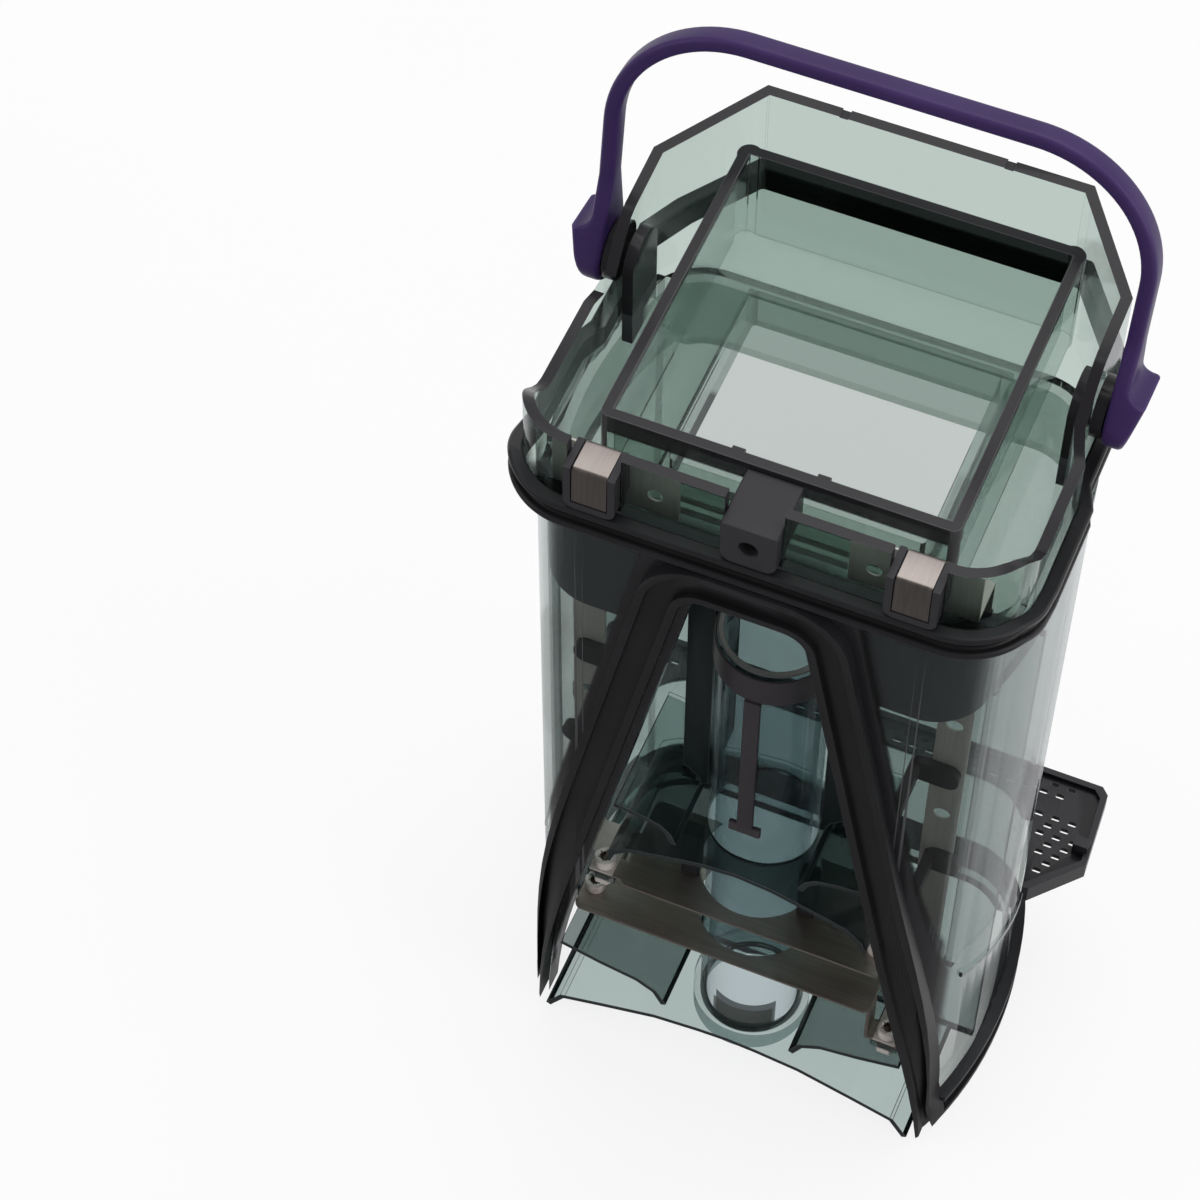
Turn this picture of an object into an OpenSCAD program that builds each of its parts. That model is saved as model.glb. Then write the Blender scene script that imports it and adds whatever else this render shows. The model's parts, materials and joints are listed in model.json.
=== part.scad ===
// Dirty water tank separator of a floor washer: a clear lower housing with an
// arched opening, a clear collar with a filter seat, two electrode plates,
// seals, a strainer tray and a bail handle. Millimetres, +Z up. The model
// stands on z = 0, and x = 0, y = 0 is the middle of its outline from above.

/* [Lower housing] */
// Width across the straight side walls
body_w = 108; // [100:1:116]
// Depth from the front wall to the rear wall
body_d = 85.5; // [82:0.5:92]
// Height of the side and rear walls
body_h = 218; // [212:1:230]
// Height of the front wall above the side walls
front_rise = 10.5; // [9:0.5:12]
// Radius of the vertical corners
corner_r = 16; // [14:0.5:18]
// Bulge of each side wall past the straight width
side_bulge = 5; // [3:0.5:6]
// Wall thickness of the lower housing
wall = 2; // [1.6:0.1:2.4]
// Depth of the flange that returns inward round the arch
flange_depth = 6.5; // [5:0.5:8]
// Thickness of that flange
flange_t = 2; // [1.5:0.1:2.5]
// Height of the two clear ribs inside the side walls
side_rib_h = 120; // [80:5:125]

/* [Arched opening] */
// Half width of the seal's centre line at the reference height
arch_half = 33.3; // [31:0.1:35]
// Reference height of that half width
arch_ref_z = 146; // [140:1:152]
// Slope of the legs away from upright, in degrees
leg_slope = 11.3; // [10.5:0.1:11.8]
// Radius of the top corners on the centre line
arch_r = 11; // [9:0.5:13]
// Distance from the front wall's top edge down to the centre line
arch_drop = 5; // [4.9:0.1:8]

/* [Seals] */
// Width of the arch seal's band
arch_seal_w = 9.5; // [8.5:0.1:9.7]
// Height of the arch seal's lips above the wall
arch_lip = 3; // [2:0.1:3.4]
// Height of the collar seal
collar_seal_h = 7.2; // [6:0.1:7.4]
// Height of the collar seal's lips above the wall
collar_lip = 3.5; // [2.5:0.1:4]
// Thickness of both seals' bands
seal_band = 1.5; // [1:0.1:1.9]
// Width of one seal lip
lip_w = 1.9; // [1.4:0.1:2.2]
// Height of the arch seal's foot above the base
seal_foot = 3.5; // [2:0.5:5]

/* [Collar housing] */
// Width across the collar's bulged sides
collar_w = 114; // [110:1:115]
// Width across the flats behind the bulge
flat_w = 109; // [106:0.5:110]
// Distance from the front wall back to the collar's rear wall
collar_d = 103.2; // [100:0.2:106]
// Width of the rear wall between its chamfers
rear_w = 75.2; // [70:0.2:80]
// Length of the chamfers, front to back
chamfer_d = 24.7; // [20:0.1:28]
// Wall thickness of the collar
collar_wall = 2.5; // [2:0.1:3]
// Height of the rim's front above the side walls of the lower housing
rim_front = 35.5; // [33:0.5:38]
// Height of the rim's dip for the folded handle
rim_dip = 25; // [20:0.5:25]
// Height of the rim behind the pivots
rim_pivot = 40.3; // [36:0.1:42]
// Height of the rim at the rear
rim_rear = 44; // [41:0.5:48]
// Depth of the skirt that plugs into the lower housing
plug_depth = 22; // [15:0.5:26]
// Thickness of the skirt and of the deck's edge
plug_t = 2; // [1.5:0.1:2.4]
// Thickness of the deck
deck_t = 3; // [2:0.1:4]

/* [Filter seat] */
// Width of the seat's opening
seat_w = 75; // [72:0.5:76]
// Depth of the seat's opening
seat_d = 77.1; // [74:0.1:78]
// Height of the seat's top edge above the side walls
seat_top = 32; // [28:0.5:34]
// Wall thickness of the seat
seat_wall = 2.5; // [2:0.1:2.8]
// Thickness of the seat's floor
seat_floor_t = 2; // [1.5:0.1:3]
// Width of the passage in the seat's floor
passage_w = 59; // [54:0.5:61]
// Depth of the passage in the seat's floor
passage_d = 51; // [46:0.5:52]
// Length of the spout below the seat's floor
spout_h = 10; // [6:0.5:14]

/* [Inlet tube] */
// Outer diameter of the tube
tube_d = 26.8; // [25:0.1:27.4]
// Wall thickness of the tube
tube_wall = 1.6; // [1.2:0.1:2]
// Length of the tube
tube_len = 165.5; // [155:0.5:170]
// Height of the tube's lower end
tube_z = 17.5; // [16:0.5:18]
// Height of the dark ring round the tube
ring_h = 9; // [6:0.5:10]
// Thickness of the dark ring
ring_t = 0.8; // [0.6:0.1:1.3]
// Distance from the tube's upper end down to the ring
ring_drop = 1.5; // [1:0.5:5]
// Length of the level rib on the tube
rib_len = 56; // [45:1:60]
// Width of the level rib
rib_w = 4; // [3:0.2:5]

/* [Baffles and electrodes] */
// Thickness of the baffles
baffle_t = 1.5; // [1.2:0.1:2]
// Distance of the baffles' front edges behind the front wall
baffle_set = 3; // [2.5:0.1:4]
// Thickness of the electrode plates
plate_t = 0.8; // [0.6:0.1:1.2]
// Height of the upper electrode plate
upper_plate_z = 79; // [77:0.5:80]
// Height of the lower electrode plate
lower_plate_z = 60; // [56:0.5:61]
// Depth of the electrode plates, front to back
plate_d = 26; // [24:0.5:27]
// Distance from the middle plane to the upper plate's right end
upper_plate_half = 38.3; // [37.5:0.1:38.6]
// Distance from the middle plane to the upper plate's left end
upper_plate_short = 30.4; // [29.5:0.1:31]
// Distance from the middle plane to the lower plate's left end
lower_plate_half = 42.5; // [41.5:0.1:42.8]
// Distance from the middle plane to the lower plate's right end
lower_plate_short = 36.5; // [36:0.1:37]
// Height of the lower plate's bent tab
lower_tab_z = 46.2; // [45.5:0.1:50]
// Thickness of the brackets that carry the plates
bracket_t = 2.5; // [2:0.1:3.5]

/* [Contacts] */
// Width of a contact strip
strip_w = 8; // [7:0.2:8.4]
// Thickness of the contact strips and springs
strip_t = 0.6; // [0.4:0.1:0.8]
// Distance from the middle plane to a strip's centre
strip_x = 44; // [43.5:0.1:44.2]
// Radius of the round holes in a strip
strip_hole_r = 2; // [1.5:0.1:2.4]
// Distance from the middle plane to a contact spring's centre
contact_x = 35.65; // [34:0.05:36]
// Width of a contact housing
contact_w = 11.7; // [10.5:0.1:12.5]
// Height of the contact housings
contact_h = 13.4; // [12:0.1:14]
// Width of a contact spring
spring_w = 8; // [6:0.1:8.6]

/* [Latch block] */
// Width of the latch block
latch_w = 12.8; // [11:0.1:16]
// Height of the latch block
latch_h = 12.4; // [11:0.1:13.5]
// Radius of the hole in the latch block
latch_hole_r = 2.1; // [1.5:0.1:3]

/* [Handle] */
// Width over the handle's arms
handle_w = 122; // [121:0.5:128]
// Reach from the pivot to the top of the grip
handle_l = 66.5; // [62:0.1:80]
// Thickness of the handle's bar
bar_t = 3.6; // [3:0.1:4]
// Depth of the handle's bar, front to back
bar_d = 5.6; // [4.5:0.1:6.5]
// Outer radius of the handle's two bends
bend_r = 30; // [20:1:38]
// Radius of the hubs
hub_r = 8; // [6.5:0.1:8.2]
// Length of a hub along its pivot, where it is widest
hub_len = 7.7; // [6.5:0.1:9]
// Radius of the pivot pegs
peg_r = 2.5; // [2.2:0.1:3.2]
// Height of the pivots above the side walls of the lower housing
pivot_h = 25; // [24:0.5:27]
// Distance of the pivots behind the front wall
pivot_back = 62.1; // [60:0.1:64]
// Backward lean of the resting handle, in degrees
handle_lean = 8.7; // [0:0.1:12]

/* [Strainer tray] */
// Height of the tray's plate
tray_z = 50; // [44:1:56]
// Width over the tray's wings
tray_w = 143; // [138:1:150]
// Distance from the rear wall back to the tray's rear edge
tray_back = 8.5; // [7.5:0.5:14]
// Thickness of the tray's plate
tray_t = 1.5; // [1.2:0.1:2]
// Height of the tray's rim
tray_rim_h = 6; // [4:0.5:8]
// Thickness of the tray's rim
tray_rim_t = 1.6; // [1.2:0.1:2.2]
// Length of an oval drain hole
drain_l = 2.6; // [2:0.1:3]
// Width of an oval drain hole
drain_w = 1.3; // [1:0.1:1.6]

/* [Hidden] */
$fn = 64;

// Clearances
slip = 0.3;
rest_gap = 0.2;
tube_gap = 0.05;
pivot_gap = 0.05;

// Longer than the whole part, for cuts
far = 200;

// Depths are first measured from a plane 37.5 mm behind the front wall
front_y = -37.5;
rear_y = front_y + body_d;
collar_front = front_y + 1;
collar_rear = front_y + collar_d;
body_y = -(collar_rear + collar_lip + front_y - arch_lip) / 2;

// Side bulge of the lower housing
body_half = body_w / 2;
flat_half = body_half - corner_r;
bulge_mid = 7;
bulge_chord = 31;
bulge_r = (bulge_chord * bulge_chord + side_bulge * side_bulge) / (2 * side_bulge);

// Heights
front_top = body_h + front_rise;
arch_top = front_top - arch_drop;
seal_half = arch_seal_w / 2;
opening_in = -seal_half - flange_t;
deck_top = body_h + deck_t;
block_z = front_top + rest_gap + collar_seal_h + slip;

// The side line steps down between these depths
step_front = -30;
step_back = -15;

// Lines seen from the side, as depth and height
joint_line = [
    [-far, front_top], [step_front, front_top],
    [step_back, body_h], [far, body_h]
];
seal_front_z = front_top + rest_gap + collar_seal_h / 2;
seal_side_z = body_h + 8;
seal_rear_z = body_h + 13;
seal_reach = 30;
seal_line = [
    [-far, seal_front_z], [step_front, seal_front_z], [step_back, seal_side_z],
    [32, seal_side_z], [50, seal_rear_z], [far, seal_rear_z]
];
// Soft step between two points of a line
function soft_step(y0, z0, y1, z1) = [
    for (i = [0:6]) let (t = i / 6) [y0 + (y1 - y0) * t, z0 + (z1 - z0) * t * t * (3 - 2 * t)]
];
dip_back = 8;
dip_end = 25;
rim_line = concat(
    [[-far, body_h + rim_front]],
    soft_step(step_front, body_h + rim_front, step_back, body_h + rim_dip),
    soft_step(dip_back, body_h + rim_dip, dip_end, body_h + rim_pivot),
    [[collar_rear, body_h + rim_rear], [far, body_h + rim_rear]]);
ledge_line = [[-22, tray_z + 24], [18, tray_z - tray_t], [far, tray_z - tray_t]];

// Inlet tube and baffles
tube_r = tube_d / 2;
tube_y = -16;
panel_y = 0;
panel_t = 1.8;
baffle_front = front_y + baffle_set;
boss_r = tube_r + 1.7;
plate_cut_r = tube_r + 1.6;
panel_z0 = 4;
panel_z1 = 190;
guide_x0 = tube_r + ring_t + slip;
guide_x1 = 21.1;
guide_y = -16.7;
guide_z0 = 109;
guide_z1 = 185;
rib_t = 1.2;
rib_foot_h = 3.5;
pad_x = [12.9, 17.4];
pad_y = [-25.5, -21.5];
mid_baffle = [[0, 103], [9, 102], [18, 99.5], [28, 96.5], [32, 93], [33.3, 89]];
upper_baffle = [[31.6, 115.3], [25, 114.5], [20, 113], [17.5, 110.5], [16.2, 107]];
lower_baffle = [[body_half - 8, 39.5], [35, 36.5], [25, 34.5], [20, 31.5], [17.5, 26.5]];
floor_baffle = [
    [0, 20.5], [8, 20], [20, 18.5], [35, 14], [body_half - 8, 10.5], [body_half - 4, 4]
];

// Electrode fasteners
screw_r = 1.5;
screw_head_r = 2.7;
screw_head_h = 3;
screw_len = 8;
screw_hole_r = screw_r + 0.1;
socket_w = 2.5;
nut_w = 5.5;
nut_h = 2.4;
screw_y = -27;
upper_screw_x = upper_plate_half - 3.3;
lower_screw_x = lower_plate_half - 3;
tab_y = -30.5;
tab_half = 2.8;
tab_end = 3.2;
upper_tab_x = upper_plate_short + 5;
lower_tab_x = lower_plate_short + 4.6;

// Contacts and latch
strip_y = -19.5;
contact_plate_y = -29.4;
contact_front = front_y - 2;
contact_back = -31;
strip_holes = [174.3, 137.4];
tab_x0 = 19;
tab_hole_x = 24.5;
tab_hole_r = 1.8;
upper_clip_z = 155;
upper_clip_x = [strip_x - 8.6, strip_x + 3.2];
lower_clip_z = 119;
lower_clip_x = [body_half - 12.5, body_half - 3.6];

// Filter seat
seat_front = front_y + 16;
passage_front = -10;
post_r = 2.9;
lip_t = 1.6;
bump_x = [8, 11];
bump_d = 0.8;
bump_h = 4;

// Handle
pivot_z = body_h + pivot_h;
pivot_y = front_y + pivot_back;
arm_out = handle_w / 2;
arm_in = arm_out - bar_t;
hub_top = 21;
bail_foot = 7;
hub_corner = 7.5;
hub_step = 0.5;
peg_reach = 4.5;
blend_in = 0.3;
boss_d = 5;
pivot_boss_r = hub_r - 1;
notch_x = [18, 20];
notch_h = 0.5;

module at_body() {
    translate([0, body_y, 0]) children();
}

module both() {
    children();
    mirror([1, 0, 0]) children();
}

module upright(z0, z1) {
    translate([0, 0, z0]) linear_extrude(z1 - z0) children();
}

// Extrudes an outline of depth and height along X
module along_x(x0, x1) {
    translate([x0, 0, 0]) rotate([90, 0, 90]) linear_extrude(x1 - x0) children();
}

// Extrudes an outline of width and height along Y
module along_y(y0, y1) {
    translate([0, y1, 0]) rotate([90, 0, 0]) linear_extrude(y1 - y0) children();
}

module block(x0, x1, y0, y1, z0, z1) {
    translate([x0, y0, z0]) cube([x1 - x0, y1 - y0, z1 - z0]);
}

// Rectangle between two corners with round corners
module round_box(x0, x1, y0, y1, r) {
    translate([x0 + r, y0]) square([x1 - x0 - 2 * r, y1 - y0]);
    translate([x0, y0 + r]) square([x1 - x0, y1 - y0 - 2 * r]);
    for (x = [x0 + r, x1 - r], y = [y0 + r, y1 - r]) {
        translate([x, y]) circle(r);
    }
}

// Half plane behind a depth
module behind(y) {
    translate([-far, y]) square([2 * far, far]);
}

// Outline of the lower housing, drawn in by an inset
module body_plan(inset) {
    round_box(-body_half + inset, body_half - inset, front_y + inset, rear_y - inset,
        corner_r - inset);
    for (side = [-1, 1]) {
        intersection() {
            translate([side * (body_half + side_bulge - bulge_r), bulge_mid])
                circle(bulge_r - inset, $fn = 180);
            translate([side * body_half, bulge_mid])
                square([body_half / 2, 2 * bulge_chord + 6], center = true);
        }
    }
}

// Half width of the lower housing at a depth on the bulge
function bulge_x(y, inset) =
    body_half + side_bulge - bulge_r
    + sqrt(pow(bulge_r - inset, 2) - pow(y - bulge_mid, 2));

// Outline of the collar, drawn in by an inset
chamfer_w = (flat_w - rear_w) / 2;
chamfer_len = sqrt(chamfer_w * chamfer_w + chamfer_d * chamfer_d);
chamfer_nx = chamfer_d / chamfer_len;
chamfer_ny = chamfer_w / chamfer_len;
collar_corner_r = 15;
bulge_end = 8;
flat_start = 14;
function chamfer_c(inset) =
    chamfer_nx * flat_w / 2 + chamfer_ny * (collar_rear - chamfer_d) - inset;
function collar_side(inset) = [
    [collar_w / 2 - inset, collar_front + collar_corner_r],
    [collar_w / 2 - inset, bulge_end],
    [flat_w / 2 - inset, flat_start],
    [flat_w / 2 - inset,
        (chamfer_c(inset) - chamfer_nx * (flat_w / 2 - inset)) / chamfer_ny],
    [(chamfer_c(inset) - chamfer_ny * (collar_rear - inset)) / chamfer_nx,
        collar_rear - inset]
];
module collar_plan(inset) {
    polygon(mirrored_outline(collar_side(inset)));
    corner_x = collar_w / 2 - collar_corner_r;
    translate([-corner_x, collar_front + inset])
        square([2 * corner_x, collar_corner_r - inset + 0.1]);
    for (side = [-1, 1]) {
        translate([side * corner_x, collar_front + collar_corner_r])
            circle(collar_corner_r - inset);
    }
}

// Closes an outline that is given for the right half only
function mirrored_outline(half) = concat(
    half, [for (i = [len(half) - 1:-1:0]) [-half[i][0], half[i][1]]]);

// Band between two heights over a line
function band(line, low, high) = concat(
    [for (p = line) [p[0], p[1] + low]],
    [for (i = [len(line) - 1:-1:0]) [line[i][0], line[i][1] + high]]);

// Region under a line, down to a level
function under(line, level, rise) = concat(
    [for (p = line) [p[0], p[1] + rise]], [[far, level], [-far, level]]);

// Thick line along a row of points
function unit(v) = v / norm(v);
function step_in(p, i) = i > 0 ? unit(p[i] - p[i - 1]) : unit(p[1] - p[0]);
function step_out(p, i) = i < len(p) - 1 ? unit(p[i + 1] - p[i]) : step_in(p, i);
function mitre(p, i) =
    let (d = unit(step_in(p, i) + step_out(p, i)))
    [-d[1], d[0]] / (d * step_out(p, i));
function ribbon(p, t) = concat(
    [for (i = [0:len(p) - 1]) p[i] + mitre(p, i) * t / 2],
    [for (i = [len(p) - 1:-1:0]) p[i] - mitre(p, i) * t / 2]);
function both_sides(half) = concat(
    [for (i = [len(half) - 1:-1:1]) [-half[i][0], half[i][1]]], half);

// Arch outline: s runs round the wall and wraps onto the front corners
quarter = corner_r * PI / 2;
function wrap_x(s) =
    s < flat_half ? s :
    s < flat_half + quarter
        ? flat_half + corner_r * sin((s - flat_half) / corner_r * 180 / PI)
        : body_half + s - flat_half - quarter;
function leg_s(z, grow) =
    arch_half + (arch_ref_z - z) * tan(leg_slope) + grow / cos(leg_slope);
arch_cz = arch_top - arch_r;
arch_cs = leg_s(arch_cz, 0) - arch_r / cos(leg_slope);
leg_steps = 14;
bend_steps = 8;
function arch_side(grow, foot) =
    let (r = arch_r + grow, leg_top = arch_cz + r * sin(leg_slope))
    concat(
        [for (i = [0:leg_steps])
            let (z = foot + (leg_top - foot) * i / leg_steps)
            [wrap_x(leg_s(z, grow)), z]],
        [for (i = [1:bend_steps])
            let (a = leg_slope + (90 - leg_slope) * i / bend_steps)
            [arch_cs + r * cos(a), arch_cz + r * sin(a)]]);
module arch_plan(grow, foot) {
    polygon(mirrored_outline(arch_side(grow, foot)));
}
module arch_band(low, high, foot) {
    difference() {
        arch_plan(high, foot);
        arch_plan(low, foot - 1);
    }
}

module lower_housing() {
    color([0.55, 0.62, 0.62, 0.45]) at_body() {
        difference() {
            union() {
                intersection() {
                    upright(0, front_top) difference() {
                        body_plan(0);
                        body_plan(wall);
                    }
                    along_x(-far, far) polygon(under(joint_line, -1, 0));
                }
                intersection() {
                    upright(0, front_top) difference() {
                        body_plan(wall / 2);
                        body_plan(flange_depth);
                    }
                    along_y(front_y, front_y + flange_depth)
                        arch_band(opening_in, -seal_half, 0);
                }
                intersection() {
                    upright(0, body_h) difference() {
                        body_plan(-0.8);
                        body_plan(wall / 2);
                    }
                    along_x(-far, far) polygon(band(ledge_line, -2.2, 0));
                }
                both() block(body_half - wall - 1.3, body_half - wall / 2,
                    -22.3, -20.7, tray_z + 25, tray_z + 25 + side_rib_h);
            }
            along_y(front_y - 1, front_y + corner_r) arch_plan(opening_in, -1);
        }
    }
}

// One baffle, from the rear panel to the front of the opening
module baffle(points) {
    along_y(baffle_front, panel_y + panel_t / 2) polygon(ribbon(points, baffle_t));
}

module bracket(x, front, z) {
    block(x - 3.5, x + 3.5, front, panel_y + panel_t / 2, z - bracket_t, z);
}

module screw_hole(x, y, z) {
    translate([x, y, z - bracket_t - 1]) cylinder(h = bracket_t + 2, r = screw_hole_r);
}

module baffle_core() {
    color([0.6, 0.68, 0.68, 0.45]) at_body() {
        panel_half = bulge_x(panel_y, wall) - slip;
        difference() {
            union() {
                block(-panel_half, panel_half, panel_y, panel_y + panel_t,
                    panel_z0, panel_z1);
                baffle(both_sides(mid_baffle));
                baffle(both_sides(floor_baffle));
                both() {
                    baffle(upper_baffle);
                    baffle(lower_baffle);
                    block(guide_x0, guide_x1, guide_y, panel_y + panel_t / 2,
                        guide_z0, guide_z1);
                }
                bracket(-upper_tab_x, tab_y - 3, upper_plate_z);
                bracket(upper_screw_x, screw_y - 3.5, upper_plate_z);
                bracket(-lower_screw_x, screw_y - 3.5, lower_plate_z);
                bracket(lower_tab_x, tab_y - 3, lower_tab_z);
                translate([0, tube_y, tube_z - 5]) cylinder(h = 10, r = boss_r);
            }
            translate([0, tube_y, tube_z])
                cylinder(h = tube_len + 10, r = tube_r + tube_gap);
            translate([0, tube_y, -1])
                cylinder(h = tube_z + 2, r = tube_r - tube_wall / 2);
            screw_hole(-upper_tab_x, tab_y, upper_plate_z);
            screw_hole(upper_screw_x, screw_y, upper_plate_z);
            screw_hole(-lower_screw_x, screw_y, lower_plate_z);
            screw_hole(lower_tab_x, tab_y, lower_tab_z);
        }
    }
}

module inlet_tube() {
    color([0.7, 0.76, 0.76, 0.4]) at_body() translate([0, tube_y, tube_z]) {
        difference() {
            cylinder(h = tube_len, r = tube_r);
            translate([0, 0, -1]) cylinder(h = tube_len + 2, r = tube_r - tube_wall);
        }
    }
}

module tube_ring() {
    top = tube_z + tube_len - ring_drop;
    color([0.12, 0.13, 0.14]) at_body() translate([0, tube_y, top - ring_h]) {
        difference() {
            cylinder(h = ring_h, r = tube_r + ring_t);
            translate([0, 0, -1]) cylinder(h = ring_h + 2, r = tube_r + tube_gap);
        }
    }
}

module level_rib() {
    rib_y = tube_y - tube_r - tube_gap;
    top = tube_z + tube_len - ring_drop - ring_h - tube_gap;
    foot = top - rib_len;
    color([0.13, 0.14, 0.15]) at_body() {
        block(-rib_w / 2, rib_w / 2, rib_y - rib_t, rib_y, foot, top);
        block(-rib_w, rib_w, rib_y - rib_t, rib_y, foot, foot + rib_foot_h);
    }
}

// Plate with a cut for the tube and one screw hole, short on its left
module electrode_plate(short_end, long_end, screw_x) {
    linear_extrude(plate_t) difference() {
        round_box(-short_end, long_end, baffle_front, baffle_front + plate_d, 2);
        translate([0, tube_y]) circle(plate_cut_r);
        translate([screw_x, screw_y]) circle(screw_hole_r);
    }
}

// Tab past the short end of a plate, with the hole for its strip's screw
module plate_tab(short_end, hole_x) {
    linear_extrude(plate_t) difference() {
        translate([-hole_x - tab_end, tab_y - tab_half])
            square([hole_x + tab_end - short_end + plate_t, 2 * tab_half]);
        translate([-hole_x, tab_y]) circle(screw_hole_r);
    }
}

module upper_electrode() {
    color([0.72, 0.66, 0.62]) at_body() translate([0, 0, upper_plate_z]) {
        electrode_plate(upper_plate_short, upper_plate_half, upper_screw_x);
        plate_tab(upper_plate_short - 2, upper_tab_x);
    }
}

module lower_electrode() {
    color([0.72, 0.66, 0.62]) at_body() mirror([1, 0, 0]) {
        translate([0, 0, lower_plate_z])
            electrode_plate(lower_plate_short, lower_plate_half, lower_screw_x);
        block(-lower_plate_short, -lower_plate_short + plate_t, tab_y - tab_half,
            tab_y + tab_half, lower_tab_z, lower_plate_z + plate_t);
        translate([0, 0, lower_tab_z]) plate_tab(lower_plate_short, lower_tab_x);
    }
}

// Rubber pad between the upper plate and the middle baffle
module pad() {
    pad_top = mid_baffle[2][1] - baffle_t / 2 - rest_gap;
    block(pad_x[0], pad_x[1], pad_y[0], pad_y[1], upper_plate_z + plate_t, pad_top);
}

module left_pad() {
    color([0.06, 0.06, 0.07]) at_body() mirror([1, 0, 0]) pad();
}

module right_pad() {
    color([0.06, 0.06, 0.07]) at_body() pad();
}

// Socket screw whose head sits on a surface
module screw(x, y, seat_z) {
    translate([x, y, seat_z]) {
        difference() {
            union() {
                cylinder(h = screw_head_h, r = screw_head_r);
                translate([0, 0, -screw_len]) cylinder(h = screw_len + 1, r = screw_r);
            }
            translate([0, 0, 1.2])
                cylinder(h = screw_head_h, r = socket_w / sqrt(3), $fn = 6);
        }
    }
}

module nut(x, y, top_z) {
    translate([x, y, top_z - nut_h]) {
        difference() {
            cylinder(h = nut_h, r = nut_w / sqrt(3), $fn = 6);
            translate([0, 0, -1]) cylinder(h = nut_h + 2, r = screw_r + tube_gap);
        }
    }
}

// The left strip feeds the upper plate and the right strip the lower plate
module electrode_screws() {
    color([0.8, 0.8, 0.78]) at_body() {
        screw(-upper_tab_x, tab_y, upper_plate_z + plate_t + strip_t);
        screw(upper_screw_x, screw_y, upper_plate_z + plate_t);
        screw(-lower_screw_x, screw_y, lower_plate_z + plate_t);
        screw(lower_tab_x, tab_y, lower_tab_z + plate_t + strip_t);
    }
}

module electrode_nuts() {
    color([0.7, 0.7, 0.68]) at_body() {
        nut(-upper_tab_x, tab_y, upper_plate_z - bracket_t);
        nut(upper_screw_x, screw_y, upper_plate_z - bracket_t);
        nut(-lower_screw_x, screw_y, lower_plate_z - bracket_t);
        nut(lower_tab_x, tab_y, lower_tab_z - bracket_t);
    }
}

// Contact strip with its foot under a screw head and its plate behind a spring
module contact_strip(foot_x, foot_z) {
    x0 = strip_x - strip_w / 2;
    x1 = strip_x + strip_w / 2;
    top = block_z + 10;
    tab_z = front_top + 2;
    difference() {
        union() {
            block(x0, x1, strip_y - strip_t / 2, strip_y + strip_t / 2,
                foot_z, tab_z + strip_t);
            block(foot_x - 3, x1, tab_y + 2, strip_y + strip_t / 2,
                foot_z, foot_z + strip_t);
            block(foot_x - 3, foot_x + 3, tab_y - 3, tab_y + 3,
                foot_z, foot_z + strip_t);
            block(x0, x1, contact_plate_y - strip_t, strip_y,
                tab_z, tab_z + strip_t);
            block(tab_x0, x1, contact_plate_y - strip_t, contact_plate_y,
                tab_z, top);
        }
        for (z = strip_holes) {
            translate([strip_x, strip_y - 5, z])
                rotate([-90, 0, 0]) cylinder(h = 10, r = strip_hole_r);
        }
        translate([tab_hole_x, contact_plate_y - 5, tab_z + 6])
            rotate([-90, 0, 0]) cylinder(h = 10, r = tab_hole_r);
        translate([foot_x, tab_y, foot_z - 1])
            cylinder(h = 4, r = screw_hole_r);
    }
}

module left_contact_strip() {
    color([0.72, 0.7, 0.68]) at_body() mirror([1, 0, 0])
        contact_strip(upper_tab_x, upper_plate_z + plate_t);
}

module right_contact_strip() {
    color([0.72, 0.7, 0.68]) at_body()
        contact_strip(lower_tab_x, lower_tab_z + plate_t);
}

// Tongue that holds a strip, on a stem from the front wall
module clip(x, z) {
    stem_w = 2.5;
    tongue_y = strip_y - strip_t / 2 - tube_gap;
    stem_reach = max(0, x[0] + stem_w - flat_half);
    stem_front = front_y + corner_r
        - sqrt(pow(corner_r - wall, 2) - pow(stem_reach, 2)) + slip;
    along_y(tongue_y - 2, tongue_y) round_box(x[0], x[1], z - 3.5, z + 3.5, 3);
    block(x[0], x[0] + stem_w, stem_front, tongue_y - 0.5, z - 2.5, z + 2.5);
}

module upper_left_clip() {
    color([0.1, 0.1, 0.12]) at_body() mirror([1, 0, 0]) clip(upper_clip_x, upper_clip_z);
}

module upper_right_clip() {
    color([0.1, 0.1, 0.12]) at_body() clip(upper_clip_x, upper_clip_z);
}

module lower_left_clip() {
    color([0.1, 0.1, 0.12]) at_body() mirror([1, 0, 0]) clip(lower_clip_x, lower_clip_z);
}

module lower_right_clip() {
    color([0.1, 0.1, 0.12]) at_body() clip(lower_clip_x, lower_clip_z);
}

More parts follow.
